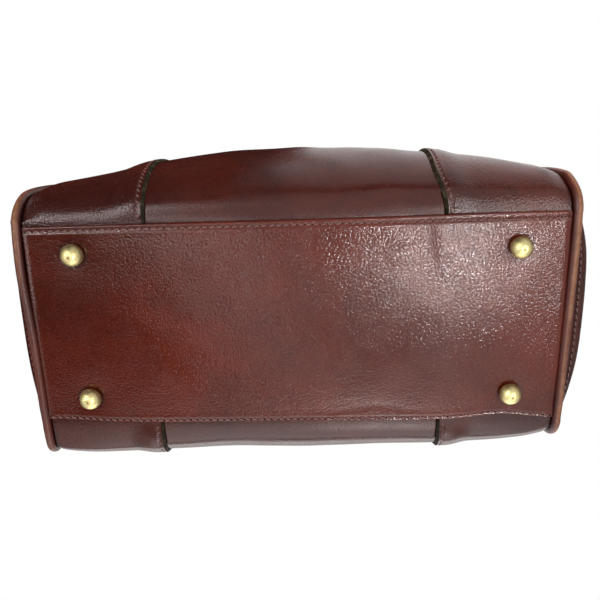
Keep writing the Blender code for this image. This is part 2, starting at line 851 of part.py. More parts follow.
def ring_path():
    """Closed outline of a ring about the middle of its lower bar, as (x, z)."""
    half = CHAPE_WIDTH / 2 + RING_SIDE_ROOM + RING_WIRE_RADIUS
    r = RING_CORNER_RADIUS
    corners = (
        (half - r, r, -0.5),
        (half - r, RING_SPAN - r, 0.0),
        (r - half, RING_SPAN - r, 0.5),
        (r - half, r, 1.0),
    )
    path = []
    for x, z, start in corners:
        for k in range(RING_CORNER_STEPS + 1):
            angle = math.pi * (start + 0.5 * k / RING_CORNER_STEPS)
            path.append((x + r * math.cos(angle), z + r * math.sin(angle)))
    return path


def handle_arch(foot_z):
    """(x, z) of the handle's centre line from one end to the other."""
    half = HANDLE_SPACING / 2
    path = []
    for k in range(ARCH_STEPS + 1):
        angle = math.pi * k / ARCH_STEPS
        across = math.copysign(abs(math.cos(angle)) ** ARCH_POWER, math.cos(angle))
        path.append((half * across, foot_z + HANDLE_RISE * max(math.sin(angle), 0.0) ** ARCH_POWER))
    return path


def handle_loop_path(y, bar_z):
    """The strap that holds a handle's end: down one side, under the ring's bar, up the other."""
    radius = turn_radius()
    side = HANDLE_RADIUS + GAP + CHAPE_LEATHER / 2
    low = bar_z + HANDLE_END_LIFT - GAP - CHAPE_LEATHER / 2
    high = bar_z + HANDLE_END_LIFT + HANDLE_LOOP_GRIP
    path = [(-side, high), (-side, low)]
    for k in range(STRAP_TURN_STEPS + 1):
        angle = math.pi * (1.06 + 0.88 * k / STRAP_TURN_STEPS)
        path.append((radius * math.cos(angle), bar_z + radius * math.sin(angle)))
    path += [(side, low), (side, high)]
    return [(y + across, z) for across, z in path]


def handles():
    across = Vector((0, 1, 0))
    for side, name in SIDES:
        bar_y, bar_z = ring_bar(side)
        y = side * bar_y
        top_z = bar_z + RING_SPAN
        pivot = (0.0, y, top_z)
        path = [Vector((x, y, z)) for x, z in handle_arch(top_z + HANDLE_END_LIFT)]
        cover = circles_along(path, across, HANDLE_RADIUS, HANDLE_SIDES)
        bore = circles_along(path, across, HANDLE_RADIUS - HANDLE_WALL, HANDLE_SIDES)
        lofted(name + "_handle", cover + bore[::-1], leather, pivot, round_trip=True)
        core_radius = (HANDLE_RADIUS - HANDLE_WALL) * math.cos(math.pi / HANDLE_SIDES) - GAP
        core = circles_along(path, across, core_radius, CORE_SIDES)
        lofted(name + "_handle_core", core, cloth, pivot)
        for end, place in ENDS:
            x = end * HANDLE_SPACING / 2
            chape = [(side * out, z) for out, z in chape_path(side)]
            low, high = x - CHAPE_WIDTH / 2, x + CHAPE_WIDTH / 2
            strap(f"{name}_{place}_chape", chape, CHAPE_LEATHER, low, high, leather)
            ring = [Vector((x + px, y, bar_z + pz)) for px, pz in ring_path()]
            wire = circles_along(ring, across, RING_WIRE_RADIUS, RING_SIDES, closed=True)
            lofted(f"{name}_{place}_ring", wire, brass, (0.0, y, bar_z), round_trip=True)
            low, high = x - HANDLE_LOOP_WIDTH / 2, x + HANDLE_LOOP_WIDTH / 2
            loop = handle_loop_path(y, top_z)
            strap(f"{name}_{place}_handle_loop", loop, CHAPE_LEATHER, low, high, leather, pivot)


def main():
    for old in list(bpy.data.objects):
        bpy.data.objects.remove(old)
    base_panel()
    base_board()
    feet()
    walls()
    pipings()
    gussets()
    lining()
    facings()
    zip_flaps()
    zip_ends()
    zip_slider()
    zip_pull()
    handles()


main()
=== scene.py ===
"""Looks of the zip-top leather handbag: worn oxblood leather, sewn seams, brass and cloth.

Every piece is made in place, in metres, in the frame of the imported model. The walls, ends,
piping, lining and seams all follow one form, surface(), so they stay sewn together where the
leather has slumped. A place on a wall is (side, x, v): v is 0 at the base, 1 at the widest
level and 2 at the mouth. A place on an end is (end, y, z).
"""

import math

import bmesh
import bpy
from mathutils import Matrix, Vector, noise

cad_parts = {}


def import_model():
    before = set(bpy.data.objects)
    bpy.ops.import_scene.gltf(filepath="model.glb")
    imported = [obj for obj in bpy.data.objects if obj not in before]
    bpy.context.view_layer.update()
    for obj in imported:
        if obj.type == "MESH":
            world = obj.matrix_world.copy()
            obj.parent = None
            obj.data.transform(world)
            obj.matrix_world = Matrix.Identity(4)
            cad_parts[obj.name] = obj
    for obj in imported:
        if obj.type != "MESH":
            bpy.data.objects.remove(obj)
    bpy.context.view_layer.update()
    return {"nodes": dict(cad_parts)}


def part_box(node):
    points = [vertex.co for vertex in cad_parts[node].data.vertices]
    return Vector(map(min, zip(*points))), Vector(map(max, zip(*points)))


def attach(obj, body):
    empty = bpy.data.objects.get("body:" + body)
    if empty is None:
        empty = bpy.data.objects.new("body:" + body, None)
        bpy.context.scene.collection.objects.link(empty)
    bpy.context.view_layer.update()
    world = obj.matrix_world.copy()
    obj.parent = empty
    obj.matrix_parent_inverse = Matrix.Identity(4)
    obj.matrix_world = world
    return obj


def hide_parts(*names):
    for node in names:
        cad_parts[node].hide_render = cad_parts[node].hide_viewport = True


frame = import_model()

FRONT, BACK = -1, 1
LEFT, RIGHT = -1, 1
SIDES = ((FRONT, "front"), (BACK, "back"))
ENDS = ((LEFT, "left"), (RIGHT, "right"))
UP = Vector((0, 0, 1))
AHEAD = Vector((0, 1, 0))

# Form of the body, as in the CAD model
GAP = 0.0003
PANEL_END = 0.165
BELLY_HALF = 0.10275
BELLY_HALF_AT_ENDS = 0.0865
MOUTH_HALF = 0.042
BASE_Z = 0.009
BASE_TOP = 0.011
FOOT_Z = 0.0113
MOUTH_Z = 0.238
STITCH_Y = 0.0663
CORNER_START = 0.068
FLANGE = 0.0075
BELLY_HEIGHT_AT_ENDS = 0.030
BELLY_HEIGHTS = {FRONT: 0.072, BACK: 0.050}
CORNER_POWERS = {FRONT: 1.0, BACK: 0.78}
LEATHER = 0.0020
FACING = 0.0015
LINING = 0.0008
LINING_FLOOR = 0.0157
FACING_FOOT_Z = 0.212
PIPING_RADIUS = 0.0029
PIPING_X = 0.1678
PIPING_DEPTH = 0.0012
PIPING_BLEND = 0.012
GUSSET_BULGE = 0.020

# Zip closure, as in the CAD model
ZIP_Z = 0.218
FLAP_HALF_LENGTH = 0.128
FLAP_IN = 0.0070
FLAP_HALF = 0.00075
HINGES = {FRONT: 0.04512, BACK: 0.04484}
SLOT_END = 0.1545
TAPE_LOW, TAPE_HIGH = ZIP_Z - 0.00165, ZIP_Z - 0.00105
TAPE_HALF = 0.014
TEETH_IN = 0.0006
TEETH_Z = (TAPE_LOW + TAPE_HIGH) / 2
SLIDER_X = 0.140
SLIDER_GAP, SLIDER_PLATE = 0.00165, 0.0012
ARCH_REACH, ARCH_WIRE = 0.00172, 0.00055
PULL_AXIS_Z = 0.22072

# Handles and rings, as in the CAD model; the bars of the rings are (y, lower z, upper z)
HANDLE_SPACING = 0.144
HANDLE_RISE = 0.108
HANDLE_END_LIFT = 0.009
ARCH_POWER = 0.85
HANDLE_RADIUS = 0.0060
HANDLE_BORE = 0.0045
CORE_RADIUS = 0.0037
BARS = {FRONT: (0.06212, 0.20767, 0.22367), BACK: (0.06067, 0.20755, 0.22355)}
RING_WIRE = 0.0016
RING_HALF, RING_HEIGHT, RING_CORNER = 0.0136, 0.016, 0.0026
TAB_HALF = 0.0008
TAB_WIDTH = 0.0110
TAB_DROP = 0.032
TAB_LENGTH = 0.046
TURN = RING_WIRE + GAP + TAB_HALF

# Slump of the worn walls, and how far their ends stand out: (size, middle z, half width)
FRONT_SLUMPS = {LEFT: 0.0018, RIGHT: 0.0042}
BACK_SLUMPS = {LEFT: 0.0068, RIGHT: 0.0024}
BACK_CORNER_SLUMP = 0.0040
SWELLS = {FRONT: 0.0020, BACK: 0.0022}
WAVE, CRINKLE = 0.0011, 0.0005
PILLOW = 0.0022
PILLOW_WIDTH = 0.012
END_ROLL = 0.0012
ROLL_WIDTH = 0.0042
SPRINGS = {(FRONT, LEFT): (0.0024, 0.036, 0.030), (FRONT, RIGHT): (0.0014, 0.006, 0.014),
           (BACK, LEFT): (0.0028, 0.036, 0.030), (BACK, RIGHT): (0.0008, 0.015, 0.030)}

# Laps of the side panels, with the distances of the mesh's columns from the cut edge
LAP_X = 0.092
LAP_WIDTH = 0.008
LAP_FOOT = 0.0010
LAP_SKIVE = 0.0021
LAP_STITCH = 0.0042
LAP_LEAN = 0.0058
LAP_FADE = 0.016
LAP_COLUMNS = (0, 0.0005, 0.0013, 0.0020, 0.0026, 0.0032, 0.0038, 0.0044, 0.0052, 0.0064, 0.008, 0.0105)
WALL_BEVEL = 0.0004

# Piping and ends: the piping's path has FLOOR_POINTS from the middle of the base to its corner,
# and the bow of the left one is (size, y, half width, half height)
PIPING_OUT = 0.0009
PIPING_SIDES = 20
FLOOR_POINTS = 16
LEFT_BOW = (0.0017, -0.035, 0.030, 0.015)
GUSSET_DRAWN = {LEFT: -0.0045, RIGHT: 0.0024}
GUSSET_SKEW = 0.02
GUSSET_SWELL = (0.0028, -0.048, 0.022)
GUSSET_WAVE = 0.0007
GUSSET_INSET, GUSSET_LOW = 0.0028, 0.0125
GUSSET_SEAM, GUSSET_SEAM_LOW = 0.0048, 0.0145

# Seams: distances from the edges, and the stitches of each kind of seam
PITCH = 0.0045
THREAD = 0.00042
HOLE_PROUD, HOLE_DEPTH = 0.00006, 0.0004
SEAM_DEPTH = 0.00045
MOUTH_SEAM = 0.0042
FLAP_SEAM = 0.0092
FLAP_GROOVE = 0.00022
TRIM_SEAM = {"pitch": 0.0036, "slant": 0.1, "size": 0.85}
TAB_SEAM = {"pitch": 0.0034, "slant": 0.1, "size": 0.9}
SLEEVE_SEAM = {"pitch": 0.0032, "slant": 0.1, "size": 0.8}
HANDLE_SEAM = {"pitch": 0.0038, "slant": 0.1, "size": 0.85}

# Base: how far its seams and ends are drawn in or out; the dips of the back seam are (depth,
# middle x, half width), the folds (places, half width, strength), and the tucks beside the back
# seam (y, waves along x, phase, half width, middle x, reach, depth)
FRONT_SEAM_IN, FRONT_SEAM_SKEW = 0.0018, 0.0085
BACK_SEAM_DIPS = ((0.0033, -0.165, 0.035), (0.0037, 0.132, 0.024))
END_OUT = {LEFT: 0.0019, RIGHT: 0.0014}
END_BOW = {LEFT: 0.0010, RIGHT: 0.0012}
END_BOW_REACH = 0.06
BASE_LIP, BASE_LIP_GROWTH = 0.0020, 0.0011
BASE_ROLL = 0.0009
SEAM_HALF = 0.0009
RIDGE, RIDGE_AWAY, RIDGE_HALF = 0.00012, 0.0021, 0.0012
PAD, PAD_WAVE, PAD_CRINKLE = 0.0009, 0.00025, 0.00016
DIMPLE = 0.00030
FOLD_DEPTH = 0.00012
FOLD_PITCH = 0.0019
FOLD_SPAN = 0.02
FOLDS = (
    (((0.0832, -0.0655), (0.0849, -0.0537), (0.0865, -0.0443), (0.0886, -0.0361), (0.0920, -0.0271),
      (0.0992, -0.0185), (0.1081, -0.0131), (0.1205, -0.0116)), 0.0034, 0.8),
    (((0.0540, -0.0470), (0.0698, -0.0540), (0.0816, -0.0606)), 0.0036, 0.45),
    (((0.0568, -0.0405), (0.0642, -0.0352), (0.0693, -0.0287)), 0.0026, 0.45),
    (((0.1500, -0.0700), (0.1572, -0.0555), (0.1623, -0.0386)), 0.0085, 0.55),
)
TUCKS = ((0.0595, 90, 0, 0.0020, 0.045, 0.030, 0.00028), (0.0555, 70, 1, 0.0016, 0.030, 0.022, 0.00016))

# Grain of the leather, in cells and ripples per metre, and its colours
PEBBLES = 790
RIPPLES = 620
DARK = (0.026, 0.0062, 0.0055)
OXBLOOD = (0.066, 0.0118, 0.0085)
MAHOGANY = (0.235, 0.0270, 0.0080)
WORN = (0.230, 0.072, 0.034)
TAN = (0.430, 0.180, 0.082)
# Painted highlight on the tops of the pebbles
PEBBLE_HIGHLIGHT = (0.26, 0.085, 0.058)
# Painted shade: the colour painted into grooves, piping flanks and rings round the feet, where shade falls
SHADE_COLOUR = (0.013, 0.0050, 0.0045)

# Studio: lamps that only show in gloss are (name, place, target, width, height, power)
CAMERA_PLACE = (0.0145, -0.1557, -0.4057)
CAMERA_RIGHT = (0.9995, 0.0238, 0.0212)
CAMERA_FORWARD = (-0.0277, 0.3177, 0.9478)
AMBIENT = 0.42
WHITE = (1.0, 1.0, 1.0)
GLOSS_COLOUR = (1.0, 0.93, 0.91)
LOW_Z = -0.85
GLOSS_LAMPS = (
    ("sheen_core", (0.240, 0.134, LOW_Z), (0.05, -0.03, 0), 0.09, 0.05, 2.5),
    ("sheen_right", (0.485, 0.160, LOW_Z), (0.1, 0, 0), 0.05, 0.09, 0.85),
    ("sheen_top", (-0.20, 0.11, LOW_Z), (0, 0, 0), 0.72, 0.07, 1.15),
    ("sheen_low", (0.20, 0.50, LOW_Z), (0, 0, 0), 0.50, 0.12, 0.29),
    ("sheen_seam", (0.15, 0.80, LOW_Z), (0.05, 0.06, 0), 0.14, 0.26, 1.2),
    ("sheen_back", (0.0, 1.25, LOW_Z), (0, 0, 0), 1.2, 1.1, 7.0),
    ("bend_right", (0.46, -0.20, LOW_Z), (0.1, -0.05, 0), 0.32, 0.44, 3.0),
    ("edge_left", (-1.1, 0.15, -0.70), (-0.16, -0.06, 0), 0.3, 0.3, 1.1),
    ("soft_back", (0.1, 1.4, 0.1), (0, 0, 0.05), 1.6, 0.9, 10.0),
)

# Floor and cards: the lips are (name, x, y, width, height), where 0 means LIP_LENGTH outwards,
# and the dark cards (name, centre, width, height, normal)
FLOOR_HALF = 8.0
HOLE_X, HOLE_Y = 0.21, 0.15
LIP_Z, LIP_LENGTH = 0.012, 0.6
LIPS = (("front", 0.0, -0.0985, 0.25, 0.0), ("front_left", -0.1675, -0.0945, 0.085, 0.0),
        ("front_right", 0.1675, -0.0945, 0.085, 0.0), ("left", -0.191, 0.0, 0.0, 0.28),
        ("right", 0.191, 0.0, 0.0, 0.28))
DARK_CARDS = (
    ("card_below", (-0.55, 0.47, -1.3), 1.5, 0.62, (0, 0, 1)),
    ("card_front", (-0.75, -1.3, 0.55), 1.3, 2.9, (0.2, 1, -0.1)),
    ("card_above", (-1.0, -0.3, 1.8), 2.0, 2.6, (0, 0, -1)),
    ("card_left", (-1.6, 0.1, 0.9), 2.0, 1.8, (1, 0, 0)),
    ("card_right", (1.5, 0.3, 1.1), 1.8, 1.8, (-1, 0, -0.3)),
)


# Small helpers
def eased(share):
    share = min(max(share, 0.0), 1.0)
    return share * share * (3 - 2 * share)


def between(value, low, high):
    """0 below low, 1 above high, eased from one to the other."""
    return eased((value - low) / (high - low))


def hump(value, centre, width):
    return math.exp(-(((value - centre) / width) ** 2))


def spread(low, high, count):
    return [low + (high - low) * k / (count - 1) for k in range(count)]


def turns(count):
    """Angles of a whole turn."""
    return [2 * math.pi * k / count for k in range(count)]


def ripple(x, y, z, scale, seed=0.0):
    """Smooth noise of about -1 to 1."""
    return noise.noise(Vector((x * scale + seed, y * scale - seed, z * scale + 2 * seed)))


def end_of(x):
    return math.copysign(1, x)


def heading(path, i):
    """Unit direction of an open path at its point i, in the first two coordinates."""
    before, after = path[max(i - 1, 0)], path[min(i + 1, len(path) - 1)]
    return Vector((after[0] - before[0], after[1] - before[1])).normalized()


def lengths_along(points):
    lengths = [0.0]
    for a, b in zip(points, points[1:]):
        lengths.append(lengths[-1] + (b - a).length)
    return lengths


# Form of the body
def swell(x):
    return min(abs(x) / PANEL_END, 1.0) ** 1.6


def belly_z(side, x):
    middle = BELLY_HEIGHTS[side]
    return BASE_Z + middle + (BELLY_HEIGHT_AT_ENDS - middle) * swell(x)


def section(side, x, v):
    """(y, z) of the sewn pattern, y counted outwards."""
    widest = BELLY_HALF + (BELLY_HALF_AT_ENDS - BELLY_HALF) * swell(x)
    middle_z = belly_z(side, x)
    if v <= 0:
        return CORNER_START + v * FLANGE, FOOT_Z
    if v <= 1:
        angle = v * math.pi / 2
        power = CORNER_POWERS[side]
        out = math.sin(angle) ** power
        up = 1 - max(math.cos(angle), 0.0) ** power
        return CORNER_START + (widest - CORNER_START) * out, FOOT_Z + (middle_z - FOOT_Z) * up
    rise = v - 1
    return widest - (widest - MOUTH_HALF) * rise**1.6, middle_z + (MOUTH_Z - middle_z) * rise


def rolled(x):
    """0 on a panel, rising to 1 at its end, where the leather turns into the seam of the piping."""
    return max((abs(x) - PANEL_END) / ROLL_WIDTH + 1, 0.0) ** 2


def slump(side, x, v):
    """How far the worn leather stands out of the pattern."""
    u = x / PANEL_END
    reach = between(v, 0.0, 0.3) * (1 - between(v, 1.35, 1.8))
    if side == FRONT:
        out = FRONT_SLUMPS[RIGHT] * between(u, 0.35, 0.8) - FRONT_SLUMPS[LEFT] * between(-u, 0.45, 0.9)
        out += SWELLS[side] * hump(u, 0.36, 0.15)
        pillow, looseness = PILLOW, 1.0
    else:
        out = BACK_SLUMPS[LEFT] * between(-u, 0.2, 0.75) + BACK_CORNER_SLUMP * between(-u, 0.58, 0.9)
        out += SWELLS[side] * hump(u, 0.62, 0.18)
        out += BACK_SLUMPS[RIGHT] * between(u, 0.62, 0.84) * (1 - 0.6 * between(u, 0.88, 1.0))
        pillow, looseness = PILLOW * 0.3, 0.45
    out -= pillow * (1 - eased((PANEL_END - abs(x)) / PILLOW_WIDTH))
    loose = reach * between(v, 0.1, 0.5) * looseness
    wave = WAVE * ripple(x, side * 0.1, v * 0.08, 17, 3.1)
    wave += CRINKLE * ripple(x, side * 0.1, v * 0.08, 45, 7.7)
    return out * reach + wave * loose - END_ROLL * rolled(x) * between(v, 0.0, 0.1)


def outer(side, x, v):
    y, z = section(side, x, v)
    return y + slump(side, x, v), z


def wall_point(side, x, v, depth):
    """(y, z) at a depth behind the outer face, y counted outwards."""
    along = heading((outer(side, x, v - 0.002), outer(side, x, v + 0.002)), 0)
    y, z = outer(side, x, v)
    return y - along.y * depth, z + along.x * depth


def level(side, x, z):
    """The v of a height above the widest level."""
    middle_z = belly_z(side, x)
    return 1 + (z - middle_z) / (MOUTH_Z - middle_z)


def lap_line(side, end, v):
    """|x| of a side panel's cut edge; the front right one leans inwards."""
    leaning = side == FRONT and end == RIGHT
    lean = LAP_LEAN * between(v, 0.03, 0.6) * (1 - 0.6 * between(v, 1.0, 1.8)) if leaning else 0.0
    return LAP_X - LAP_FOOT - lean


def lap_lift(side, x, v):
    """How far a side panel stands out where it lies over the centre panel."""
    fade = eased(1 - (abs(x) - lap_line(side, end_of(x), v) - LAP_WIDTH - GAP) / LAP_FADE)
    return (LEATHER + GAP) * fade * eased(v / 0.25)


def end_spring(side, x, z):
    """How far the ends of the walls, and the piping with them, stand out along x."""
    size, middle_z, width = SPRINGS[side, end_of(x)]
    return end_of(x) * size * between(abs(x), 0.135, PANEL_END) * hump(z, middle_z, width)


def surface(side, x, v, depth=0.0, lap=False):
    lift = lap_lift(side, x, v) if lap else 0.0
    y, z = wall_point(side, x, v, depth - lift)
    return Vector((x + end_spring(side, x, z), side * y, z))


# Meshes
def added(name, data):
    made = bpy.data.objects.new(name, data)
    bpy.context.scene.collection.objects.link(made)
    return made


def finished(name, bm, looks, body, slot, replaces=None, smooth_angle=40, bevel=0.0):
    """The piece of a mesh, riding a body."""
    bmesh.ops.recalc_face_normals(bm, faces=bm.faces)
    if bm.calc_volume(signed=True) < 0:
        bmesh.ops.reverse_faces(bm, faces=bm.faces)
    mesh = bpy.data.meshes.new(name)
    bm.to_mesh(mesh)
    bm.free()
    mesh.shade_smooth()
    mesh.set_sharp_from_angle(angle=math.radians(smooth_angle))
    for look in looks:
        mesh.materials.append(look)
    made = added(name, mesh)
    if bevel:
        soften = made.modifiers.new("edge", "BEVEL")
        soften.width = bevel
        soften.segments = 2
        soften.limit_method = "ANGLE"
        soften.angle_limit = math.radians(50)
    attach(made, body)
    if replaces:
        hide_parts(replaces)
    return made


def quads(bm, rows, closed=False, look=0):
    """Faces between rows of vertices."""
    for low, high in zip(rows, rows[1:]):
        count = len(low)
        for k in range(count if closed else count - 1):
            after = (k + 1) % count
            bm.faces.new((low[k], low[after], high[after], high[k])).material_index = look


def capped(bm, loops, look=0):
    """Faces through the loops, and one across each end."""
    rows = [[bm.verts.new(p) for p in loop] for loop in loops]
    quads(bm, rows, closed=True, look=look)
    for cap in (rows[0], rows[-1]):
        bm.faces.new(cap).material_index = look


def leather(name, grids, look, replaces, body="bag", cut=("high",), bevel=0.0003):
    """A closed sheet between two grids; the borders in cut show the raw edge.

    Borders are "start" and "end" for the first and the last column, "low" and "high" for rows.
    """
    bm = bmesh.new()
    skins = [[[bm.verts.new(p) for p in row] for row in grid] for grid in grids]
    for skin in skins:
        quads(bm, skin)
    borders = {
        "low": [s[0] for s in skins],
        "high": [s[-1] for s in skins],
        "start": [[row[0] for row in s] for s in skins],
        "end": [[row[-1] for row in s] for s in skins],
    }
    for place, rows in borders.items():
        quads(bm, rows, look=1 if place in cut else 0)
    return finished(name, bm, (look, EDGE_LOOK), body, "oxblood_leather", replaces, bevel=bevel)


def loft(name, loops, looks, body, slot, replaces, round_trip=False, **more):
    bm = bmesh.new()
    if round_trip:
        rows = [[bm.verts.new(p) for p in loop] for loop in loops]
        quads(bm, rows + rows[:1], closed=True)
    else:
        capped(bm, loops)
    return finished(name, bm, looks, body, slot, replaces, **more)


def frames_along(path, across, closed=False):
    """(point, side) along a path; side is square to the path and to across."""
    made = []
    for i, point in enumerate(path):
        before = path[i - 1] if i or closed else point
        after = path[(i + 1) % len(path)] if i + 1 < len(path) or closed else point
        made.append((point, (after - before).normalized().cross(across).normalized()))
    return made


def tube(path, across, radius, sides, closed=False, shape=None):
    """Loops of a tube; shape(angle, i) scales the radius."""
    loops = []
    for i, (point, side) in enumerate(frames_along(path, across, closed)):
        loop = []
        for a in turns(sides):
            r = radius * (shape(a, i) if shape else 1.0)
            loop.append(point + r * (math.cos(a) * side + math.sin(a) * across))
        loops.append(loop)
    return loops


def lathe(profile, centre, sides):
    """Loops of a solid of revolution about the vertical through centre."""
    x, y = centre
    return [[(x + r * math.cos(a), y + r * math.sin(a), z) for a in turns(sides)] for r, z in profile]


def normal_of(place, a, b, outward):
    """Unit normal of place(a, b), turned towards outward."""
    step = 0.0008
    da = place(a + step, b) - place(a - step, b)
    db = place(a, b + step) - place(a, b - step)
    normal = da.cross(db).normalized()
    return normal if normal.dot(outward) > 0 else -normal


def paint(made, weight, mask="wear"):
    """Writes a mask: weight(co) for each vertex."""
    mesh = made.data
    layer = mesh.attributes.new(mask, "FLOAT", "POINT")
    for vertex, value in zip(mesh.vertices, layer.data):
        value.value = min(max(weight(vertex.co), 0.0), 1.0)


def paint_mouth(made, wear):
    paint(made, lambda co: wear * between(co.z, MOUTH_Z - 0.004, MOUTH_Z))


def relook(node, look):
    """Gives a solid that shows as it is its look."""
    slots = frame["nodes"][node].data.materials
    slots.clear()
    slots.append(look)


# Looks
class Nodes:
    """The nodes of a material or world, added one by one."""

    def __init__(self, owner):
        owner.use_nodes = True
        self.tree = owner.node_tree

    def add(self, kind, inputs=None, **settings):
        node = self.tree.nodes.new(kind)
        for key, value in settings.items():
            setattr(node, key, value)
        for key, value in (inputs or {}).items():
            self.put(node.inputs[key], value)
        return node

    def put(self, socket, value):
        if isinstance(value, bpy.types.NodeSocket):
            self.tree.links.new(value, socket)
        else:
            socket.default_value = value

    def maths(self, operation, a, b=0.0):
        return self.add("ShaderNodeMath", {0: a, 1: b}, operation=operation).outputs[0]


class Look(Nodes):
    """A material on the standard shader, its textures in the object's own metres."""

    def __init__(self, name, roughness, metallic=0.0, specular=0.5):
        self.material = bpy.data.materials.new(name)
        super().__init__(self.material)
        self.shader = self.tree.nodes["Principled BSDF"]
        self.shader.inputs["Roughness"].default_value = roughness
        self.shader.inputs["Metallic"].default_value = metallic
        self.shader.inputs["Specular IOR Level"].default_value = specular
        self.place = self.add("ShaderNodeTexCoord").outputs["Object"]

    def stretched(self, scale, rotation=(0, 0, 0)):
        inputs = {"Vector": self.place, "Scale": scale, "Rotation": rotation}
        return self.add("ShaderNodeMapping", inputs).outputs["Vector"]

    def noise(self, scale, detail=3.0, rough=0.55, place=None, distortion=0.0):
        inputs = {"Vector": place or self.place, "Scale": scale, "Detail": detail}
        inputs.update({"Roughness": rough, "Distortion": distortion})
        return self.add("ShaderNodeTexNoise", inputs).outputs["Fac"]

    def cells(self, scale, feature="DISTANCE_TO_EDGE"):
        inputs = {"Vector": self.place, "Scale": scale}
        return self.add("ShaderNodeTexVoronoi", inputs, feature=feature).outputs["Distance"]

    def ribs(self, place, scale, direction="X", **inputs):
        inputs.update({"Vector": place, "Scale": scale})
        return self.add("ShaderNodeTexWave", inputs, bands_direction=direction).outputs["Fac"]

    def ramp(self, value, low, high, start=0.0, stop=1.0):
        inputs = {"Value": value, "From Min": low, "From Max": high, "To Min": start, "To Max": stop}
        return self.add("ShaderNodeMapRange", inputs, interpolation_type="SMOOTHSTEP").outputs["Result"]

    def times(self, a, b):
        return self.maths("MULTIPLY", a, b)

    def plus(self, a, b):
        return self.maths("ADD", a, b)

    def mix(self, share, a, b):
        a, b = ((*value, 1.0) if isinstance(value, tuple) else value for value in (a, b))
        return self.add("ShaderNodeMix", {0: share, 6: a, 7: b}, data_type="RGBA").outputs[2]

    def mask(self, name):
        return self.add("ShaderNodeAttribute", attribute_name=name).outputs["Fac"]

    def colour(self, value):
        self.put(self.shader.inputs["Base Color"], value)

    def rough(self, value):
        self.put(self.shader.inputs["Roughness"], value)

    def bump(self, height, distance):
        inputs = {"Height": height, "Distance": distance, "Strength": 1.0}
        self.put(self.shader.inputs["Normal"], self.add("ShaderNodeBump", inputs).outputs["Normal"])


def leather_look(name, warm, grain, roughness, scuffs=True, patchy=0.75, creased=False, mottled=0.30):
    """Smooth grained leather: pebbles with painted shade in the valleys between them and a painted
    highlight on their tops, clouded dye, scuffs, wear, and painted shade where the masks say.
    """
    look = Look(name, roughness, specular=0.36)
    cloud = look.noise(11, 4, 0.6, distortion=0.6)
    mottle = look.noise(95, 3, 0.6)
    base = look.mix(look.ramp(cloud, 0.34, 0.66, max(warm - 0.45, 0.0), warm), OXBLOOD, MAHOGANY)
    base = look.mix(look.ramp(mottle, 0.42, 0.72, 0.0, mottled), base, DARK)
    tint = min(grain, 1.1)
    pebble = look.cells(PEBBLES)
    tops = look.ramp(pebble, 0.03, 0.34)
    middle = look.cells(PEBBLES, "F1")
    fine = look.noise(1300, 2, 0.5)
    # Painted shade in the valleys between the pebbles, and a painted highlight on their tops
    base = look.mix(look.ramp(pebble, 0.0, 0.14, 0.36 * tint, 0.0), base, DARK)
    base = look.mix(look.times(tops, look.ramp(fine, 0.42, 0.7, 0.0, 0.20 * tint)), base, PEBBLE_HIGHLIGHT)
    patch = look.ramp(look.noise(260, 4, 0.65), 0.36, 0.62)
    worn = look.times(look.mask("wear"), look.plus(look.times(patch, patchy), 1 - patchy))
    base = look.mix(look.ramp(worn, 0.12, 0.55), base, WORN)
    base = look.mix(look.ramp(worn, 0.5, 0.95), base, TAN)
    if scuffs:
        lines = look.noise(1, 5, 0.7, place=look.stretched((60, 900, 300), (0.3, 0.2, 0.5)))
        where = look.ramp(look.noise(26, 2), 0.56, 0.7)
        scuff = look.times(look.ramp(lines, 0.64, 0.74), where)
        base = look.mix(look.times(scuff, 0.35), base, WORN)
    # Painted shade, where its mask says: grooves, piping flanks and rings round the feet
    look.colour(look.mix(look.mask("painted_shade"), base, SHADE_COLOUR))
    polish = look.ramp(look.noise(34, 3, 0.6), 0.3, 0.7, roughness - 0.03, roughness + 0.05)
    look.rough(look.plus(polish, look.times(worn, 0.16)))
    dome = look.times(look.times(middle, middle), -1.2)
    height = look.plus(look.times(tops, 0.2), look.times(fine, 0.05))
    height = look.plus(height, look.plus(dome, look.times(look.noise(RIPPLES, 1, 0.5), 1.3)))
    if creased:
        across = look.times(look.mask("across"), 2 * math.pi * FOLD_SPAN / FOLD_PITCH)
        ridges = look.maths("SINE", look.plus(across, look.times(look.noise(170, 3), 20.0)))
        height = look.plus(height, look.times(ridges, look.times(look.mask("fold"), 1.35)))
    look.bump(height, 0.000042 * grain)
    return look.material


def edge_look():
    """The raw cut edge of leather: fibres under worn dark paint."""
    look = Look("cut_edge", 0.85, specular=0.15)
    fibres = look.noise(1400, 4, 0.7, place=look.stretched((1, 1, 0.35)))
    bare = look.ramp(look.noise(160, 3), 0.52, 0.70, 0.0, 0.8)
    edge_paint = look.mix(fibres, (0.011, 0.0070, 0.0040), (0.036, 0.024, 0.012))
    look.colour(look.mix(bare, edge_paint, (0.105, 0.078, 0.038)))
    look.bump(fibres, 0.0002)
    return look.material


def thread_look():
    """Twisted waxed thread."""
    look = Look("thread", 0.5, specular=0.35)
    twist = look.ribs(look.place, 700.0, "DIAGONAL")
    tint = look.mix(look.noise(60, 2), (0.26, 0.105, 0.086), (0.50, 0.27, 0.23))
    look.colour(look.mix(look.ramp(twist, 0.2, 0.9, 0.0, 0.4), tint, (0.075, 0.02, 0.016)))
    look.bump(twist, 0.00012)
    return look.material


# Painted shade: near black inside the needle holes, where shade falls
def hole_shade_look():
    look = Look("needle_hole_shade", 0.9, specular=0.1)
    look.colour(look.mix(look.noise(900, 2), (0.0035, 0.0015, 0.0012), (0.012, 0.004, 0.003)))
    return look.material


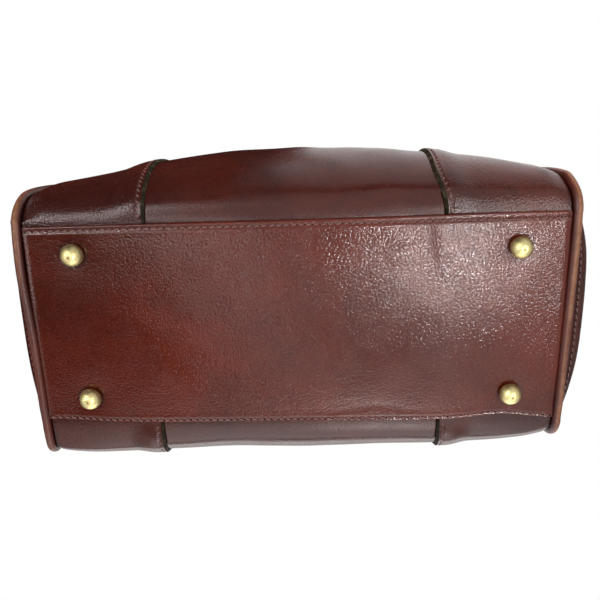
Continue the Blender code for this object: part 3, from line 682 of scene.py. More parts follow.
def brass_look(name, dark):
    """Antique brass: pale rubbed metal with brown film, fine scratches and dull worn spots."""
    look = Look(name, 0.3, 1.0)
    film = look.noise(240, 5, 0.65, distortion=0.4)
    base = look.mix(look.ramp(film, 0.46, 0.9, 0.0, dark * 0.8), (0.55, 0.475, 0.225), (0.27, 0.215, 0.085))
    ring = look.ramp(look.noise(520, 3, 0.6), 0.3, 0.7, 0.75, 1.15)
    worn = look.times(look.mask("wear"), ring)
    look.colour(look.mix(look.ramp(worn, 0.2, 0.85), base, (0.19, 0.15, 0.070)))
    look.rough(look.plus(look.ramp(film, 0.3, 0.8, 0.34, 0.48), look.times(worn, 0.2)))
    marks = look.noise(1, 4, 0.7, place=look.stretched((300, 2600, 900), (0.4, 0.1, 0.7)))
    look.bump(look.plus(look.times(look.ramp(marks, 0.55, 0.72), -1.0), look.times(film, 0.5)), 0.00005)
    return look.material


def cloth_look(name, light, dark, threads, rotation):
    """Woven cloth: diagonal ribs crossed by finer ones."""
    look = Look(name, 0.85, specular=0.2)
    look.shader.inputs["Sheen Weight"].default_value = 0.25
    place = look.stretched((1, 1, 1), rotation)
    rib = look.ribs(place, threads, Distortion=0.6, Detail=2.0)
    weave = look.plus(look.times(rib, 0.65), look.times(look.ribs(place, threads * 0.62, "Z"), 0.35))
    cloud = look.ramp(look.noise(18, 3), 0.35, 0.7, 0.0, 0.3)
    look.colour(look.mix(cloud, look.mix(weave, dark, light), dark))
    look.bump(weave, 0.00012)
    return look.material


LEATHER_LOOK = leather_look("oxblood_leather", 0.26, 0.9, 0.23)
SIDE_LOOK = leather_look("side_leather", 0.42, 2.3, 0.20)
BASE_LOOK = leather_look("base_leather", 0.95, 1.45, 0.15, creased=True, mottled=0.16)
PIPING_LOOK = leather_look("piping_leather", 0.5, 0.6, 0.36, scuffs=False, patchy=0.25)
SMALL_LOOK = leather_look("trim_leather", 0.4, 0.8, 0.38)
EDGE_LOOK = edge_look()
THREAD_LOOK = thread_look()
HOLE_SHADE_LOOK = hole_shade_look()
BRASS_LOOK = brass_look("brass", 0.5)
ZIP_LOOK = brass_look("zip_brass", 0.7)
LINING_LOOK = cloth_look("lining_twill", (0.125, 0.088, 0.062), (0.052, 0.034, 0.024), 520.0, (0, 0, 0.78))
TAPE_LOOK = cloth_look("zip_tape_weave", (0.060, 0.018, 0.016), (0.020, 0.006, 0.006), 620.0, (0, 0, 0))
CORE_LOOK = cloth_look("cotton_core", (0.46, 0.40, 0.32), (0.28, 0.23, 0.17), 800.0, (0.5, 0.3, 0))
BOARD_LOOK = cloth_look("fibre_board", (0.20, 0.15, 0.10), (0.10, 0.07, 0.045), 300.0, (0.2, 0.4, 0.9))


# Sewing: sections of a stitch are (place along it, width, height)
STITCH = ((-1, 0.5, -0.9), (-0.82, 0.85, 0.1), (-0.4, 1.0, 0.75), (0.0, 1.05, 0.9),
          (0.4, 1.0, 0.75), (0.82, 0.85, 0.1), (1, 0.5, -0.9))


class Sewing:
    """Collects the stitches of one body, then makes one piece of them."""

    def __init__(self, body):
        self.body = body
        self.bm = bmesh.new()
        self.count = 0

    def row(self, path, pitch=PITCH, slant=0.2, size=1.0, length=0.78):
        """Stitches along a dense path of (point, normal)."""
        lengths = lengths_along([point for point, _ in path])
        count = max(int(round((lengths[-1] - pitch) / pitch)), 1)
        step = (lengths[-1] - pitch) / count
        index = 0
        for k in range(count + 1):
            at = pitch / 2 + step * k
            while index < len(lengths) - 2 and lengths[index + 1] < at:
                index += 1
            share = (at - lengths[index]) / max(lengths[index + 1] - lengths[index], 1e-9)
            (point, normal), (after, after_normal) = path[index:index + 2]
            along = (after - point).normalized()
            point = point.lerp(after, share)
            normal = normal.lerp(after_normal, share).normalized()
            along = (along - normal * along.dot(normal)).normalized()
            self.stitch(point, normal, along, step * length / 2, slant, size)

    def stitch(self, point, normal, along, half, slant, size):
        """A thread that dips into a needle hole at each of its ends."""
        self.count += 1
        slant += 0.06 * math.sin(self.count * 2.399)
        run = (along * math.cos(slant) + normal.cross(along) * math.sin(slant)).normalized()
        across = normal.cross(run)
        radius = THREAD * size
        loops = []
        for t, width, height in STITCH:
            centre = point + run * half * t + normal * radius * height
            loops.append([centre + radius * width * (math.cos(a) * across + 0.8 * math.sin(a) * normal)
                          for a in turns(6)])
        capped(self.bm, loops)
        for end in (-1, 1):
            centre = point + run * half * 1.08 * end
            ring = [centre + radius * 1.35 * (math.cos(a) * run + math.sin(a) * across)
                    + normal * HOLE_PROUD for a in turns(7)]
            capped(self.bm, (ring, [spot - normal * HOLE_DEPTH for spot in ring]), look=1)

    def done(self, name):
        finished(name, self.bm, (THREAD_LOOK, HOLE_SHADE_LOOK), self.body, "oxblood_leather")


sewing = Sewing("bag")


# Base
def middle_of(node):
    low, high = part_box(node)
    return (low[0] + high[0]) / 2, (low[1] + high[1]) / 2


FEET = {f"{side}_{end}": middle_of(f"foot_{side}_{end}") for _, side in SIDES for _, end in ENDS}


def round_feet(x, y, radius, width):
    """Humps at a radius round the feet."""
    return sum(hump(math.hypot(x - fx, y - fy), radius, width) for fx, fy in FEET.values())


def seam_y(side, x):
    """The seams of the base have drawn in and wander a little."""
    if side == FRONT:
        return -STITCH_Y + FRONT_SEAM_IN - FRONT_SEAM_SKEW * x
    y = STITCH_Y
    for depth, middle, width in BACK_SEAM_DIPS:
        y -= depth * hump(x, middle, width)
    return y


def base_end(end, y):
    """How far each end of the base is drawn out of line."""
    if end == LEFT:
        bowed = between(y, -END_BOW_REACH, 0.0)
    else:
        bowed = max(1 - (y / END_BOW_REACH) ** 2, 0.0)
    return END_BOW[end] * bowed + END_OUT[end]


def drawn_out(x, y):
    return x + end_of(x) * base_end(end_of(x), y) * between(abs(x), 0.145, PANEL_END)


def fold(x, y):
    """(strength, signed distance) of the nearest fold of the base."""
    best = (0.0, 0.0)
    if x < 0.045 or y > 0.0:
        return best
    here = Vector((x, y))
    for places, width, strength in FOLDS:
        near = None
        for k, (start, stop) in enumerate(zip(places, places[1:])):
            start, stop = Vector(start), Vector(stop)
            run = stop - start
            share = min(max((here - start).dot(run) / run.length_squared, 0.0), 1.0)
            away = here - start - share * run
            if near is None or away.length < abs(near[0]):
                hand = run.x * away.y - run.y * away.x
                near = (math.copysign(away.length, hand), (k + share) / (len(places) - 1))
        here_strength = strength * hump(near[0], 0.0, width) * (1 - 0.9 * between(near[1], 0.20, 0.62))
        if here_strength > best[0]:
            best = (here_strength, near[0])
    return best


def base_under(x, y):
    """Height of the base leather's outer face: sewn down at its seams, padded between them."""
    front, back = seam_y(FRONT, x), seam_y(BACK, x)
    scallop = 0.75 + 0.25 * math.cos(2 * math.pi * x / PITCH)
    seam = SEAM_DEPTH * scallop * (hump(y, front, SEAM_HALF) + hump(y, back, SEAM_HALF))
    seam -= RIDGE * (hump(y, front + RIDGE_AWAY, RIDGE_HALF) + hump(y, back - RIDGE_AWAY, RIDGE_HALF))
    seam += BASE_ROLL * rolled(x)
    across = max((y - front) * (back - y) / ((back - front) / 2) ** 2, 0.0)
    along = max(1 - (x / PANEL_END) ** 6, 0.0)
    pad = PAD * across**0.7 * along + PAD_WAVE * ripple(x, y, 0, 16, 2.0) * across
    pad += PAD_CRINKLE * ripple(x, y, 0, 48, 5.0) * across
    strength, away = fold(x, y)
    pad -= FOLD_DEPTH * strength * hump(away, 0.0, 0.0036) * across**0.3
    for tuck_y, waves, phase, width, middle, reach, depth in TUCKS:
        pad -= depth * hump(y, tuck_y + 0.002 * math.sin(x * waves + phase), width) * hump(x, middle, reach)
    pad *= max(1 - 1.15 * round_feet(x, y, 0.0, 0.013), 0.0)
    return BASE_Z + seam + DIMPLE * round_feet(x, y, 0.0, 0.0072) - pad


def base_panel():
    outer_rows = (0.0011, 0.0007, 0.00035, 0.0)
    inner_rows = (0.00035, 0.0007, 0.0011, 0.0016, 0.0022, 0.003, 0.0045)
    arc = [math.pi * k / 8 for k in range(1, 8)]
    roll = spread(PANEL_END - ROLL_WIDTH, PANEL_END, 12)
    loops = []
    for x in [-d for d in reversed(roll)] + spread(-roll[0], roll[0], 312)[1:-1] + roll:
        front, back = seam_y(FRONT, x), seam_y(BACK, x)
        lip = BASE_LIP + BASE_LIP_GROWTH * between(x, 0.03, 0.13)
        ys = [back + 0.0015] + [back + d for d in outer_rows] + [back - d for d in inner_rows]
        ys += spread(back - 0.0065, front + 0.0065, 52) + [front + d for d in reversed(inner_rows)]
        ys += [front - d for d in reversed(outer_rows)] + [front - lip * s for s in (0.72, 0.86, 1.0)]
        loop = [(y, base_under(x, y)) for y in ys]
        low = loop[-1][1]
        middle, radius = (low + BASE_TOP) / 2, (BASE_TOP - low) / 2
        loop += [(ys[-1] - radius * 0.9 * math.sin(a), middle - radius * math.cos(a)) for a in arc]
        loop += [(y, BASE_TOP) for y in spread(ys[-1], ys[0], 6)]
        loops.append([(drawn_out(x, y), y, z) for y, z in loop])
    made = loft("base", loops, (BASE_LOOK, EDGE_LOOK), "bag", "oxblood_leather", "base_panel")

    # Painted shade where the base rolls into the piping's seam and in rings round the feet, where shade
    # falls; also darker towards the left end
    def painted_shade_at(co):
        near_end = between(abs(co.x) - base_end(end_of(co.x), co.y), PANEL_END - 0.0018, PANEL_END)
        rings = round_feet(co.x, co.y, 0.0078, 0.0011)
        return 0.35 * near_end + 0.45 * rings + 0.25 * between(-co.x, 0.06, 0.15)

    paint(made, lambda co: 0.14 * hump(co.y, seam_y(FRONT, co.x) - 0.0032, 0.0010))
    paint(made, painted_shade_at, "painted_shade")
    paint(made, lambda co: fold(co.x, co.y)[0] if co.z < BASE_TOP - 0.001 else 0.0, "fold")
    paint(made, lambda co: 0.5 + fold(co.x, co.y)[1] / FOLD_SPAN, "across")
    seam_end = 0.1632
    for side in (FRONT, BACK):
        path = []
        for x in spread(seam_end, -seam_end, 400):
            y = seam_y(side, x)
            path.append((Vector((drawn_out(x, y), y, BASE_Z + SEAM_DEPTH * 0.55)), -UP))
        sewing.row(path, slant=-0.30 * side, size=1.15)


def feet():
    """Domed feet, each with a worn flat tip, a rolled rim and a neck up to the base."""
    tip, neck, radius = 0.0018, 0.0046, 0.0070
    start = math.asin(tip / radius)
    sink = radius * math.cos(start)
    profile = [(0.0004, 0.00002), (0.0012, 0.00005)]
    for angle in spread(start, math.pi / 2, 18):
        profile.append((radius * math.sin(angle), max(sink - radius * math.cos(angle), 0.00012)))
    profile += [(radius, sink + 0.0003), (0.0066, sink + 0.0007), (0.0058, sink + 0.0010)]
    profile += [(neck + 0.0003, sink + 0.0011), (neck, sink + 0.0013), (neck, BASE_Z - 0.0006)]
    profile += [(neck + 0.0005, BASE_Z - GAP), (0.0016, BASE_Z - GAP)]
    for place, (x, y) in FEET.items():
        loops = lathe(profile, (x, y), 48)
        made = loft("dome_foot_" + place, loops, (BRASS_LOOK,), "bag", "antique_brass", "foot_" + place)
        spot = Vector((x, y, 0))
        paint(made, lambda co: (0.9 * hump((co - spot).length, 0.0, 0.0013)
                                + 0.5 * between(co.z, 0.0055, 0.0075)))


# Walls
def wall_levels():
    corner = [0.0, 0.02, 0.045, 0.08, 0.12, 0.16, 0.205, 0.25, 0.3, 0.35, 0.4] + spread(0.46, 1.0, 12)
    return [-1.0, -0.6, -0.3, -0.1] + corner + spread(1.04, 2.0, 30)


def centre_edge(side, end, v):
    """|x| of the centre panel's edge: at the side panel low down, and under it higher up."""
    return lap_line(side, end, v) - GAP + (LAP_WIDTH + GAP) * eased((v - 0.25) / 0.15)


def centre_columns(side, v):
    left, right = -centre_edge(side, LEFT, v), centre_edge(side, RIGHT, v)
    return [left + (right - left) * s for s in spread(0, 1, 84)]


def side_columns(side, end, v, skive):
    edge = lap_line(side, end, v)
    last = edge + LAP_COLUMNS[-1]
    near = [edge + d + skive * (1 - d / LAP_COLUMNS[-1]) for d in LAP_COLUMNS]
    return near + [last + (PANEL_END - last) * (1 - (1 - s) ** 1.4) for s in spread(0, 1, 34)[1:]]


def panel_point(side, x, v, depth=0.0):
    """A place on a side panel, with the groove of its lap seam."""
    seam = lap_line(side, end_of(x), v) + LAP_STITCH
    groove = 0.0 if depth > 0 else SEAM_DEPTH * hump(abs(x), seam, 0.0010) * between(v, 0.03, 0.12)
    return surface(side, x, v, depth + groove, lap=True)


def side_panel(side, name, end, place):
    grids = [[[panel_point(side, end * x, v, depth) for x in side_columns(side, end, v, skive)]
              for v in wall_levels()] for depth, skive in ((0.0, LAP_SKIVE), (LEATHER, 0.0))]
    look = SIDE_LOOK if side == FRONT else LEATHER_LOOK
    made = leather(f"{name}_{place}", grids, look, f"{name}_{place}_panel", cut=("start", "high"),
                   bevel=WALL_BEVEL)
    paint_mouth(made, 0.1)
    # Painted shade in the groove at the panel's end, beside the piping
    paint(made, lambda co: 0.4 * between(abs(co.x), PANEL_END - 0.0016, PANEL_END), "painted_shade")
    path = []
    for v in spread(0.03, 1.955, 260):
        x = end * (lap_line(side, end, v) + LAP_STITCH)
        outward = Vector((0, side, 0.6 * (v - 1)))
        normal = normal_of(lambda a, b: panel_point(side, a, b), x, v, outward)
        path.append((panel_point(side, x, v), normal))
    sewing.row(path, pitch=0.0042, slant=0.8 * end * side, size=0.95 if side == FRONT else 0.7, length=0.66)


def walls():
    seam_end = 0.1615
    for side, name in SIDES:
        grids = [[[surface(side, x, v, depth) for x in centre_columns(side, v)]
                  for v in wall_levels()] for depth in (0.0, LEATHER)]
        made = leather(name + "_centre", grids, LEATHER_LOOK, name + "_centre_panel", bevel=WALL_BEVEL)
        paint_mouth(made, 0.12)
        for end, place in ENDS:
            side_panel(side, name, end, place)
        path = []
        for x in spread(-seam_end, seam_end, 240):
            v = level(side, x, MOUTH_Z - MOUTH_SEAM)
            normal = normal_of(lambda a, b: surface(side, a, b), x, v, side * AHEAD)
            path.append((surface(side, x, v, lap=abs(x) > LAP_X), normal))
        sewing.row(path, slant=0.15)


# Ends
def piping_path(side, end):
    """(y, z) of the piping's middle from the middle of the base up one wall's edge."""
    base_z = BASE_Z + PIPING_DEPTH
    start_y = CORNER_START - PIPING_BLEND
    points = [(y, base_z) for y in spread(0.0, start_y, FLOOR_POINTS)]
    corner = [0.0, 0.012, 0.03, 0.05, 0.075, 0.1, 0.13, 0.16, 0.2] + spread(0.24, 1.0, 20)
    for v in corner + spread(1.04, 2.0, 26):
        y, z = wall_point(side, end * PANEL_END, v, PIPING_DEPTH - END_ROLL * between(v, 0.0, 0.1))
        blend = 1 if v > 1 else eased((y - start_y) / (2 * PIPING_BLEND))
        points.append((y, base_z + (z - base_z) * blend))
    return points


def spring_at(end, y, z):
    """end_spring where a place belongs to both walls by its y; the left end is bowed low down."""
    share = between(y, -0.06, 0.06)
    size, middle_y, width, height = LEFT_BOW
    bow = -size * hump(y, middle_y, width) * hump(z, BASE_Z, height) if end == LEFT else 0.0
    front, back = (end_spring(side, end * PANEL_END, z) for side, _ in SIDES)
    return bow + (1 - share) * front + share * back


def inset_edge(side, end, distance):
    """The wall's edge from the corner of the base up, a distance inside the piping's middle."""
    points = piping_path(side, end)
    moved = []
    for i, (y, z) in enumerate(points):
        along = heading(points, i)
        moved.append((y - along.y * distance, z + along.x * distance))
    return moved[FLOOR_POINTS - 1:]


def edge_at(points, z):
    for (y0, z0), (y1, z1) in zip(points, points[1:]):
        if z <= z1:
            return y0 + (y1 - y0) * max((z - z0) / max(z1 - z0, 1e-9), 0.0)
    return points[-1][0]


EDGES = {(side, end): inset_edge(side, end, GUSSET_INSET) for side, _ in SIDES for end, _ in ENDS}


def bulge(y, z, end):
    """How far an end stands out at a place."""
    front, back = -edge_at(EDGES[FRONT, end], z), edge_at(EDGES[BACK, end], z)
    across = max(1 - ((2 * y - front - back) / (back - front)) ** 2, 0.0)
    low, high = EDGES[FRONT, end][0][1], EDGES[FRONT, end][-1][1]
    height = min(max((z - low) / (high - low), 0.0), 1.0)
    top = 0.25 * height
    drawn = GUSSET_DRAWN[end]
    if end == RIGHT:
        size, middle_y, width = GUSSET_SWELL
        drawn += GUSSET_SKEW * y
        drawn += size * hump(y, middle_y, width)
    full = GUSSET_BULGE + drawn * (1 - height)
    wave = GUSSET_WAVE * ripple(end, y, z, 24, 4.0) * (1 - height)
    return across**0.68 * (full * (math.sin(math.pi * height**0.45) * (1 - top) + top) + wave)


def on_end(x, y, z, end, sprung=True):
    """A place on an end's sheet whose edges lie at |x|."""
    return Vector((end * (x + bulge(y, z, end)) + (spring_at(end, y, z) if sprung else 0.0), y, z))


def gusset_rows(end, distance, low):
    """Front and back point of each row across an end, without those below low."""
    rows = zip(inset_edge(FRONT, end, distance), inset_edge(BACK, end, distance))
    return [((-y0, z0), (y1, z1)) for (y0, z0), (y1, z1) in rows if z0 >= low]


def end_sheet(name, end, rows, inner_x, thickness, look, replaces):
    grids = []
    for x in (inner_x + thickness, inner_x):
        grid = []
        for (y0, z0), (y1, z1) in rows:
            grid.append([on_end(x, y0 + (y1 - y0) * s, z0 + (z1 - z0) * s, end) for s in spread(0, 1, 45)])
        grids.append(grid)
    leather(name, grids, look, replaces)


def piping(end, place):
    outline = [(-y, z) for y, z in reversed(piping_path(FRONT, end))] + piping_path(BACK, end)[1:]
    path = [Vector((end * (PIPING_X + PIPING_OUT) + spring_at(end, y, z), y, z)) for y, z in outline]
    loops = tube(path, Vector((1, 0, 0)), PIPING_RADIUS, PIPING_SIDES,
                 shape=lambda a, i: 1 + 0.015 * math.sin(i * 1.7 + math.cos(a)) * math.cos(i * 0.61))
    made = loft("cord_piping_" + place, loops, (PIPING_LOOK,), "bag", "piping_leather", "piping_" + place)
    worn, shaded = [], []
    for y, z in outline:
        if end == RIGHT:
            ridge = 0.74 + 0.70 * hump(z, 0.036, 0.030) * (y < 0) + 0.30 * hump(y, 0.055, 0.030)
            ridge += 0.10 * ripple(y, z, 1, 70, 2.0)
            lean, width = 0.30, 0.70
        else:
            ridge = 0.24 + 0.70 * hump(y, -0.066, 0.030) * between(0.06 - z, 0.0, 0.03)
            ridge += 0.25 * hump(y, 0.085, 0.020) + 0.10 * ripple(y, z, 2, 70, 2.0)
            lean, width = 0.05, 0.80
        for a in turns(PIPING_SIDES):
            out = (end * a - lean + math.pi) % (2 * math.pi) - math.pi
            worn.append(ridge * hump(out, 0.0, width))
            # Painted shade on the piping's flanks, most on the inner one towards the base and walls
            shaded.append(0.45 * between(-out, 0.9, 1.6) + 0.2 * between(out, 0.9, 1.5))
    paint(made, lambda co, shares=iter(worn): next(shares))
    paint(made, lambda co, shares=iter(shaded): next(shares), "painted_shade")


def ends():
    inner_x = PIPING_X - LEATHER
    facing_x = inner_x - GAP - FACING
    for end, place in ENDS:
        piping(end, place)
        rows = gusset_rows(end, GUSSET_INSET, GUSSET_LOW)
        end_sheet("end_" + place, end, rows, inner_x, LEATHER, LEATHER_LOOK, "gusset_" + place)
        front, back = EDGES[FRONT, end], EDGES[BACK, end]
        heights = [FACING_FOOT_Z, 0.2125, 0.2135, 0.215, ZIP_Z, 0.222, 0.226, 0.230, front[-1][1]]
        rows = [((GAP - edge_at(front, z), z), (edge_at(back, z) - GAP, z)) for z in heights]
        end_sheet("end_facing_" + place, end, rows, facing_x, FACING, SMALL_LOOK, "gusset_facing_" + place)
        rows = gusset_rows(end, GUSSET_SEAM, GUSSET_SEAM_LOW)
        (start_y, low), (stop_y, _) = rows[0]
        sewn = [front for front, _ in reversed(rows)]
        sewn += [(y, low) for y in spread(start_y, stop_y, 60)[1:-1]]
        path = []
        for y, z in sewn + [back for _, back in rows]:
            dy = (bulge(y + 0.001, z, end) - bulge(y - 0.001, z, end)) / 0.002
            dz = (bulge(y, z + 0.001, end) - bulge(y, z - 0.001, end)) / 0.002
            path.append((on_end(PIPING_X, y, z, end), Vector((end, -dy, -dz)).normalized()))
        sewing.row(path, slant=0.15)
        z = FACING_FOOT_Z + 0.0035
        inwards = Vector((-end, 0, 0))
        across = [(on_end(facing_x, y, z, end, sprung=False), inwards) for y in spread(-0.034, 0.034, 60)]
        sewing.row(across, slant=0.1)


# Lining and facings
def inner_depth(x, v):
    return LEATHER + GAP + 0.0002 * (1 + ripple(x, v * 0.1, 0.3, 30, 9.0))


def lining():
    rows = [None, 0.4, 0.46, 0.55, 0.65, 0.75, 0.85, 1.0, 1.1, 1.2, 1.32, 1.45, 1.55, 1.65, 1.75, 1.85, 2.0]
    across = spread(0, 1, 22)[1:-1]

    def edge(side, row, skin):
        """A wall's stretch of a row; the row None lies flat on the floor."""
        end = PANEL_END - GAP - skin
        points = []
        for x in spread(-end, end, 62):
            v = min(row or rows[1], level(side, x, FACING_FOOT_Z - GAP))
            y, z = wall_point(side, x, v, inner_depth(x, v) + skin)
            if row is None:
                y, z = min(y, CORNER_START), LINING_FLOOR + skin
            points.append(Vector((x, side * y, z)))
        return points

    def loop(row, skin):
        front, back = edge(FRONT, row, skin), edge(BACK, row, skin)
        sides = []
        for start, stop in ((front[-1], back[-1]), (back[0], front[0])):
            places = [start.lerp(stop, s) for s in across]
            end = end_of(start.x)
            sides.append([(p.x + end * bulge(p.y, p.z, end), p.y, p.z) for p in places])
        return front + sides[0] + back[::-1] + sides[1]

    loops = [loop(row, 0.0) for row in rows] + [loop(row, LINING) for row in reversed(rows)]
    loft("cloth_lining", loops, (LINING_LOOK,), "bag", "lining_cloth", "lining", smooth_angle=60)


def facings():
    end = PANEL_END - 0.0044
    behind = LEATHER + GAP
    heights = (FACING_FOOT_Z, 0.2128, 0.214, 0.2155, 0.217, 0.220, 0.224, 0.228, 0.232, 0.2355, MOUTH_Z)
    for side, name in SIDES:
        grids = [[[surface(side, x, level(side, x, z), depth) for x in spread(-end, end, 70)]
                  for z in heights] for depth in (behind, behind + FACING)]
        made = leather("inner_facing_" + name, grids, SMALL_LOOK, "facing_" + name)
        paint(made, lambda co: 0.1 * between(co.z, MOUTH_Z - 0.003, MOUTH_Z))
        inwards = Vector((0, -side, 0.45)).normalized()
        for z, half in ((MOUTH_Z - MOUTH_SEAM, 0.1585), (FACING_FOOT_Z + 0.003, 0.157)):
            path = []
            for x in spread(-half, half, 200):
                path.append((surface(side, x, level(side, x, z), behind + FACING), inwards))
            sewing.row(path, slant=0.12)


# Zip closure: a tooth's sections are (y, half width, half height) of an eight-sided outline
TEETH_PITCH = 0.0023
TOOTH = ((0.00275, 0.00034, 0.00075), (0.0026, 0.00062, 0.00125), (0.0019, 0.00062, 0.00135),
         (0.0013, 0.00040, 0.00130), (0.0009, 0.00052, 0.00125), (0.00062, 0.00046, 0.0009))
EIGHT_SIDES = ((-1, -0.7), (-0.7, -1), (0.7, -1), (1, -0.7), (1, 0.7), (0.7, 1), (-0.7, 1), (-1, 0.7))


def zip_flap(side, name):
    body = name + "_flap"
    hinge = HINGES[side]

    def top(x, y):
        return ZIP_Z + 0.00016 * ripple(x, y, side, 40, 6.0) * between(y, FLAP_IN, 0.016)

    ys = [FLAP_IN, 0.0073, 0.0078, 0.0085, FLAP_SEAM, 0.0099, 0.0108] + spread(0.0125, hinge - 0.002, 18)
    ys += [hinge - 0.001, hinge]
    grids = [[[(x, side * y, top(x, y) + lift - groove * hump(y, FLAP_SEAM, 0.0006)) for y in ys]
              for x in spread(-FLAP_HALF_LENGTH, FLAP_HALF_LENGTH, 110)]
             for lift, groove in ((FLAP_HALF, FLAP_GROOVE), (-FLAP_HALF, 0.0))]
    made = leather(name + "_flap_leather", grids, SMALL_LOOK, name + "_zip_flap", body, cut=("start",))
    paint(made, lambda co: 0.12 * hump(abs(co.y), FLAP_IN, 0.001))
    sewn = Sewing(body)
    for y in (FLAP_SEAM, hinge - MOUTH_SEAM):
        seam_end = FLAP_HALF_LENGTH - 0.0015
        path = [(Vector((x, side * y, top(x, y) + 0.00058)), UP) for x in spread(-seam_end, seam_end, 120)]
        sewn.row(path, **TRIM_SEAM)
    sewn.done(name + "_flap_stitches")
    under, over = TAPE_LOW - 0.0003, TAPE_HIGH + 0.00025
    bead = [(0.0029, under), (0.0038, under), (0.0041, TAPE_LOW), (TAPE_HALF, TAPE_LOW),
            (TAPE_HALF, TAPE_HIGH), (0.0041, TAPE_HIGH), (0.0038, over), (0.0029, over)]
    loops = [[(x, side * y, z) for y, z in bead] for x in spread(-FLAP_HALF_LENGTH, FLAP_HALF_LENGTH, 60)]
    loft(name + "_woven_tape", loops, (TAPE_LOOK,), body, "zip_tape", name + "_zip_tape")


def zip_teeth(side, name):
    """The teeth of a side; those of the other side stand between them."""
    bm = bmesh.new()
    count = int(2 * FLAP_HALF_LENGTH / TEETH_PITCH) - 1
    start = -TEETH_PITCH * (count - 1) / 2 - 0.25 * TEETH_PITCH * side
    for k in range(count):
        x = start + TEETH_PITCH * k
        loops = [[(x + half * px, side * y, TEETH_Z + high * pz) for px, pz in EIGHT_SIDES]
                 for y, half, high in TOOTH]
        capped(bm, loops)
    finished(name + "_teeth", bm, (ZIP_LOOK,), name + "_flap", "antique_brass", name + "_zip_teeth")


def zip_ends():
    """Fixed pieces of leather and tape round the ends of the slot."""
    inner = FLAP_HALF_LENGTH + GAP
    outer_x = PIPING_X - LEATHER - 2 * GAP - FACING
    half_turn = (math.pi / 2, -math.pi / 2)
    for end, place in ENDS:

        def plate(name, front, back, slot, low, high, look, slot_name, node):
            curve = [(outer_x + bulge(y, ZIP_Z, end) - 0.0001, y) for y in spread(-front, back, 30)]
            outline = [(inner, -front), *curve, (inner, back), (inner, slot)]
            for a in spread(*half_turn, 12):
                outline.append((SLOT_END - slot * (1 - math.cos(a)), slot * math.sin(a)))
            outline.append((inner, -slot))
            loops = [[(end * x, y, z) for x, y in outline] for z in (low, high)]
            loft(name + place, loops, (look, EDGE_LOOK), "bag", slot_name, node + place, bevel=0.0002)

        front, back = (min(HINGES[side], edge_at(EDGES[side, end], ZIP_Z)) - FACING for side, _ in SIDES)
        plate("zip_end_leather_", front, back, FLAP_IN, ZIP_Z - FLAP_HALF, ZIP_Z + FLAP_HALF, SMALL_LOOK,
              "oxblood_leather", "zip_end_")
        plate("zip_end_weave_", TAPE_HALF, TAPE_HALF, TEETH_IN, TAPE_LOW, TAPE_HIGH, TAPE_LOOK,
              "zip_tape", "zip_end_tape_")
        straight = spread(inner + 0.0012, SLOT_END - 0.006, 14)
        bend_x = SLOT_END - 0.0068
        run = [(x, FLAP_SEAM) for x in straight]
        run += [(bend_x + FLAP_SEAM * math.cos(a), FLAP_SEAM * math.sin(a)) for a in spread(*half_turn, 24)]
        run += [(x, -FLAP_SEAM) for x in reversed(straight)]
        sewing.row([(Vector((end * x, y, ZIP_Z + 0.00068)), UP) for x, y in run], **TRIM_SEAM)


def slider():
    """Two plates, the web between them and the arch that holds the pull."""
    low, high = TEETH_Z - SLIDER_GAP, TEETH_Z + SLIDER_GAP
    wide = [(-0.0064, 0.0022), (-0.0060, 0.0027), (-0.001, 0.0030), (0.003, 0.0038), (0.0050, 0.0039),
            (0.0062, 0.0030), (0.0065, 0.0019), (0.0059, 0.0010), (0.0052, 0.0)]
    plan = wide + [(x, -y) for x, y in reversed(wide[:-1])]
    bm = bmesh.new()
    for inner_z, outer_z in ((high, high + SLIDER_PLATE), (low, low - SLIDER_PLATE)):
        capped(bm, [[(SLIDER_X + x * scale, y * scale, inner_z + (outer_z - inner_z) * s) for x, y in plan]
                    for s, scale in ((0.0, 0.97), (0.15, 1.0), (0.8, 1.0), (1.0, 0.93))])
    web = [(0.0052, 0.00026), (0.0020, 0.00026), (0.0012, 0.0), (0.0020, -0.00026), (0.0052, -0.00026)]
    capped(bm, [[(SLIDER_X + x, y, z) for x, y in web] for z in (low - 0.0002, high + 0.0002)])
    foot_z = high + SLIDER_PLATE / 2
    arch = [(ARCH_REACH * math.cos(a), PULL_AXIS_Z + ARCH_REACH * math.sin(a))
            for a in spread(0, math.pi, 12)]
    arch = [(ARCH_REACH, foot_z), *arch, (-ARCH_REACH, foot_z)]
    path = [Vector((SLIDER_X + x, 0, z)) for x, z in arch]
    capped(bm, tube(path, AHEAD, ARCH_WIRE, 10, shape=lambda a, i: 1 + 0.55 * abs(math.sin(a))))
    made = finished("slider", bm, (BRASS_LOOK,), "zip_slider", "antique_brass", "zip_slider")
    paint(made, lambda co: 0.25 * between(co.z, 0.2185, 0.2195))


# Chapes, handles and rings
ALL_CUT = ("start", "end", "low", "high")


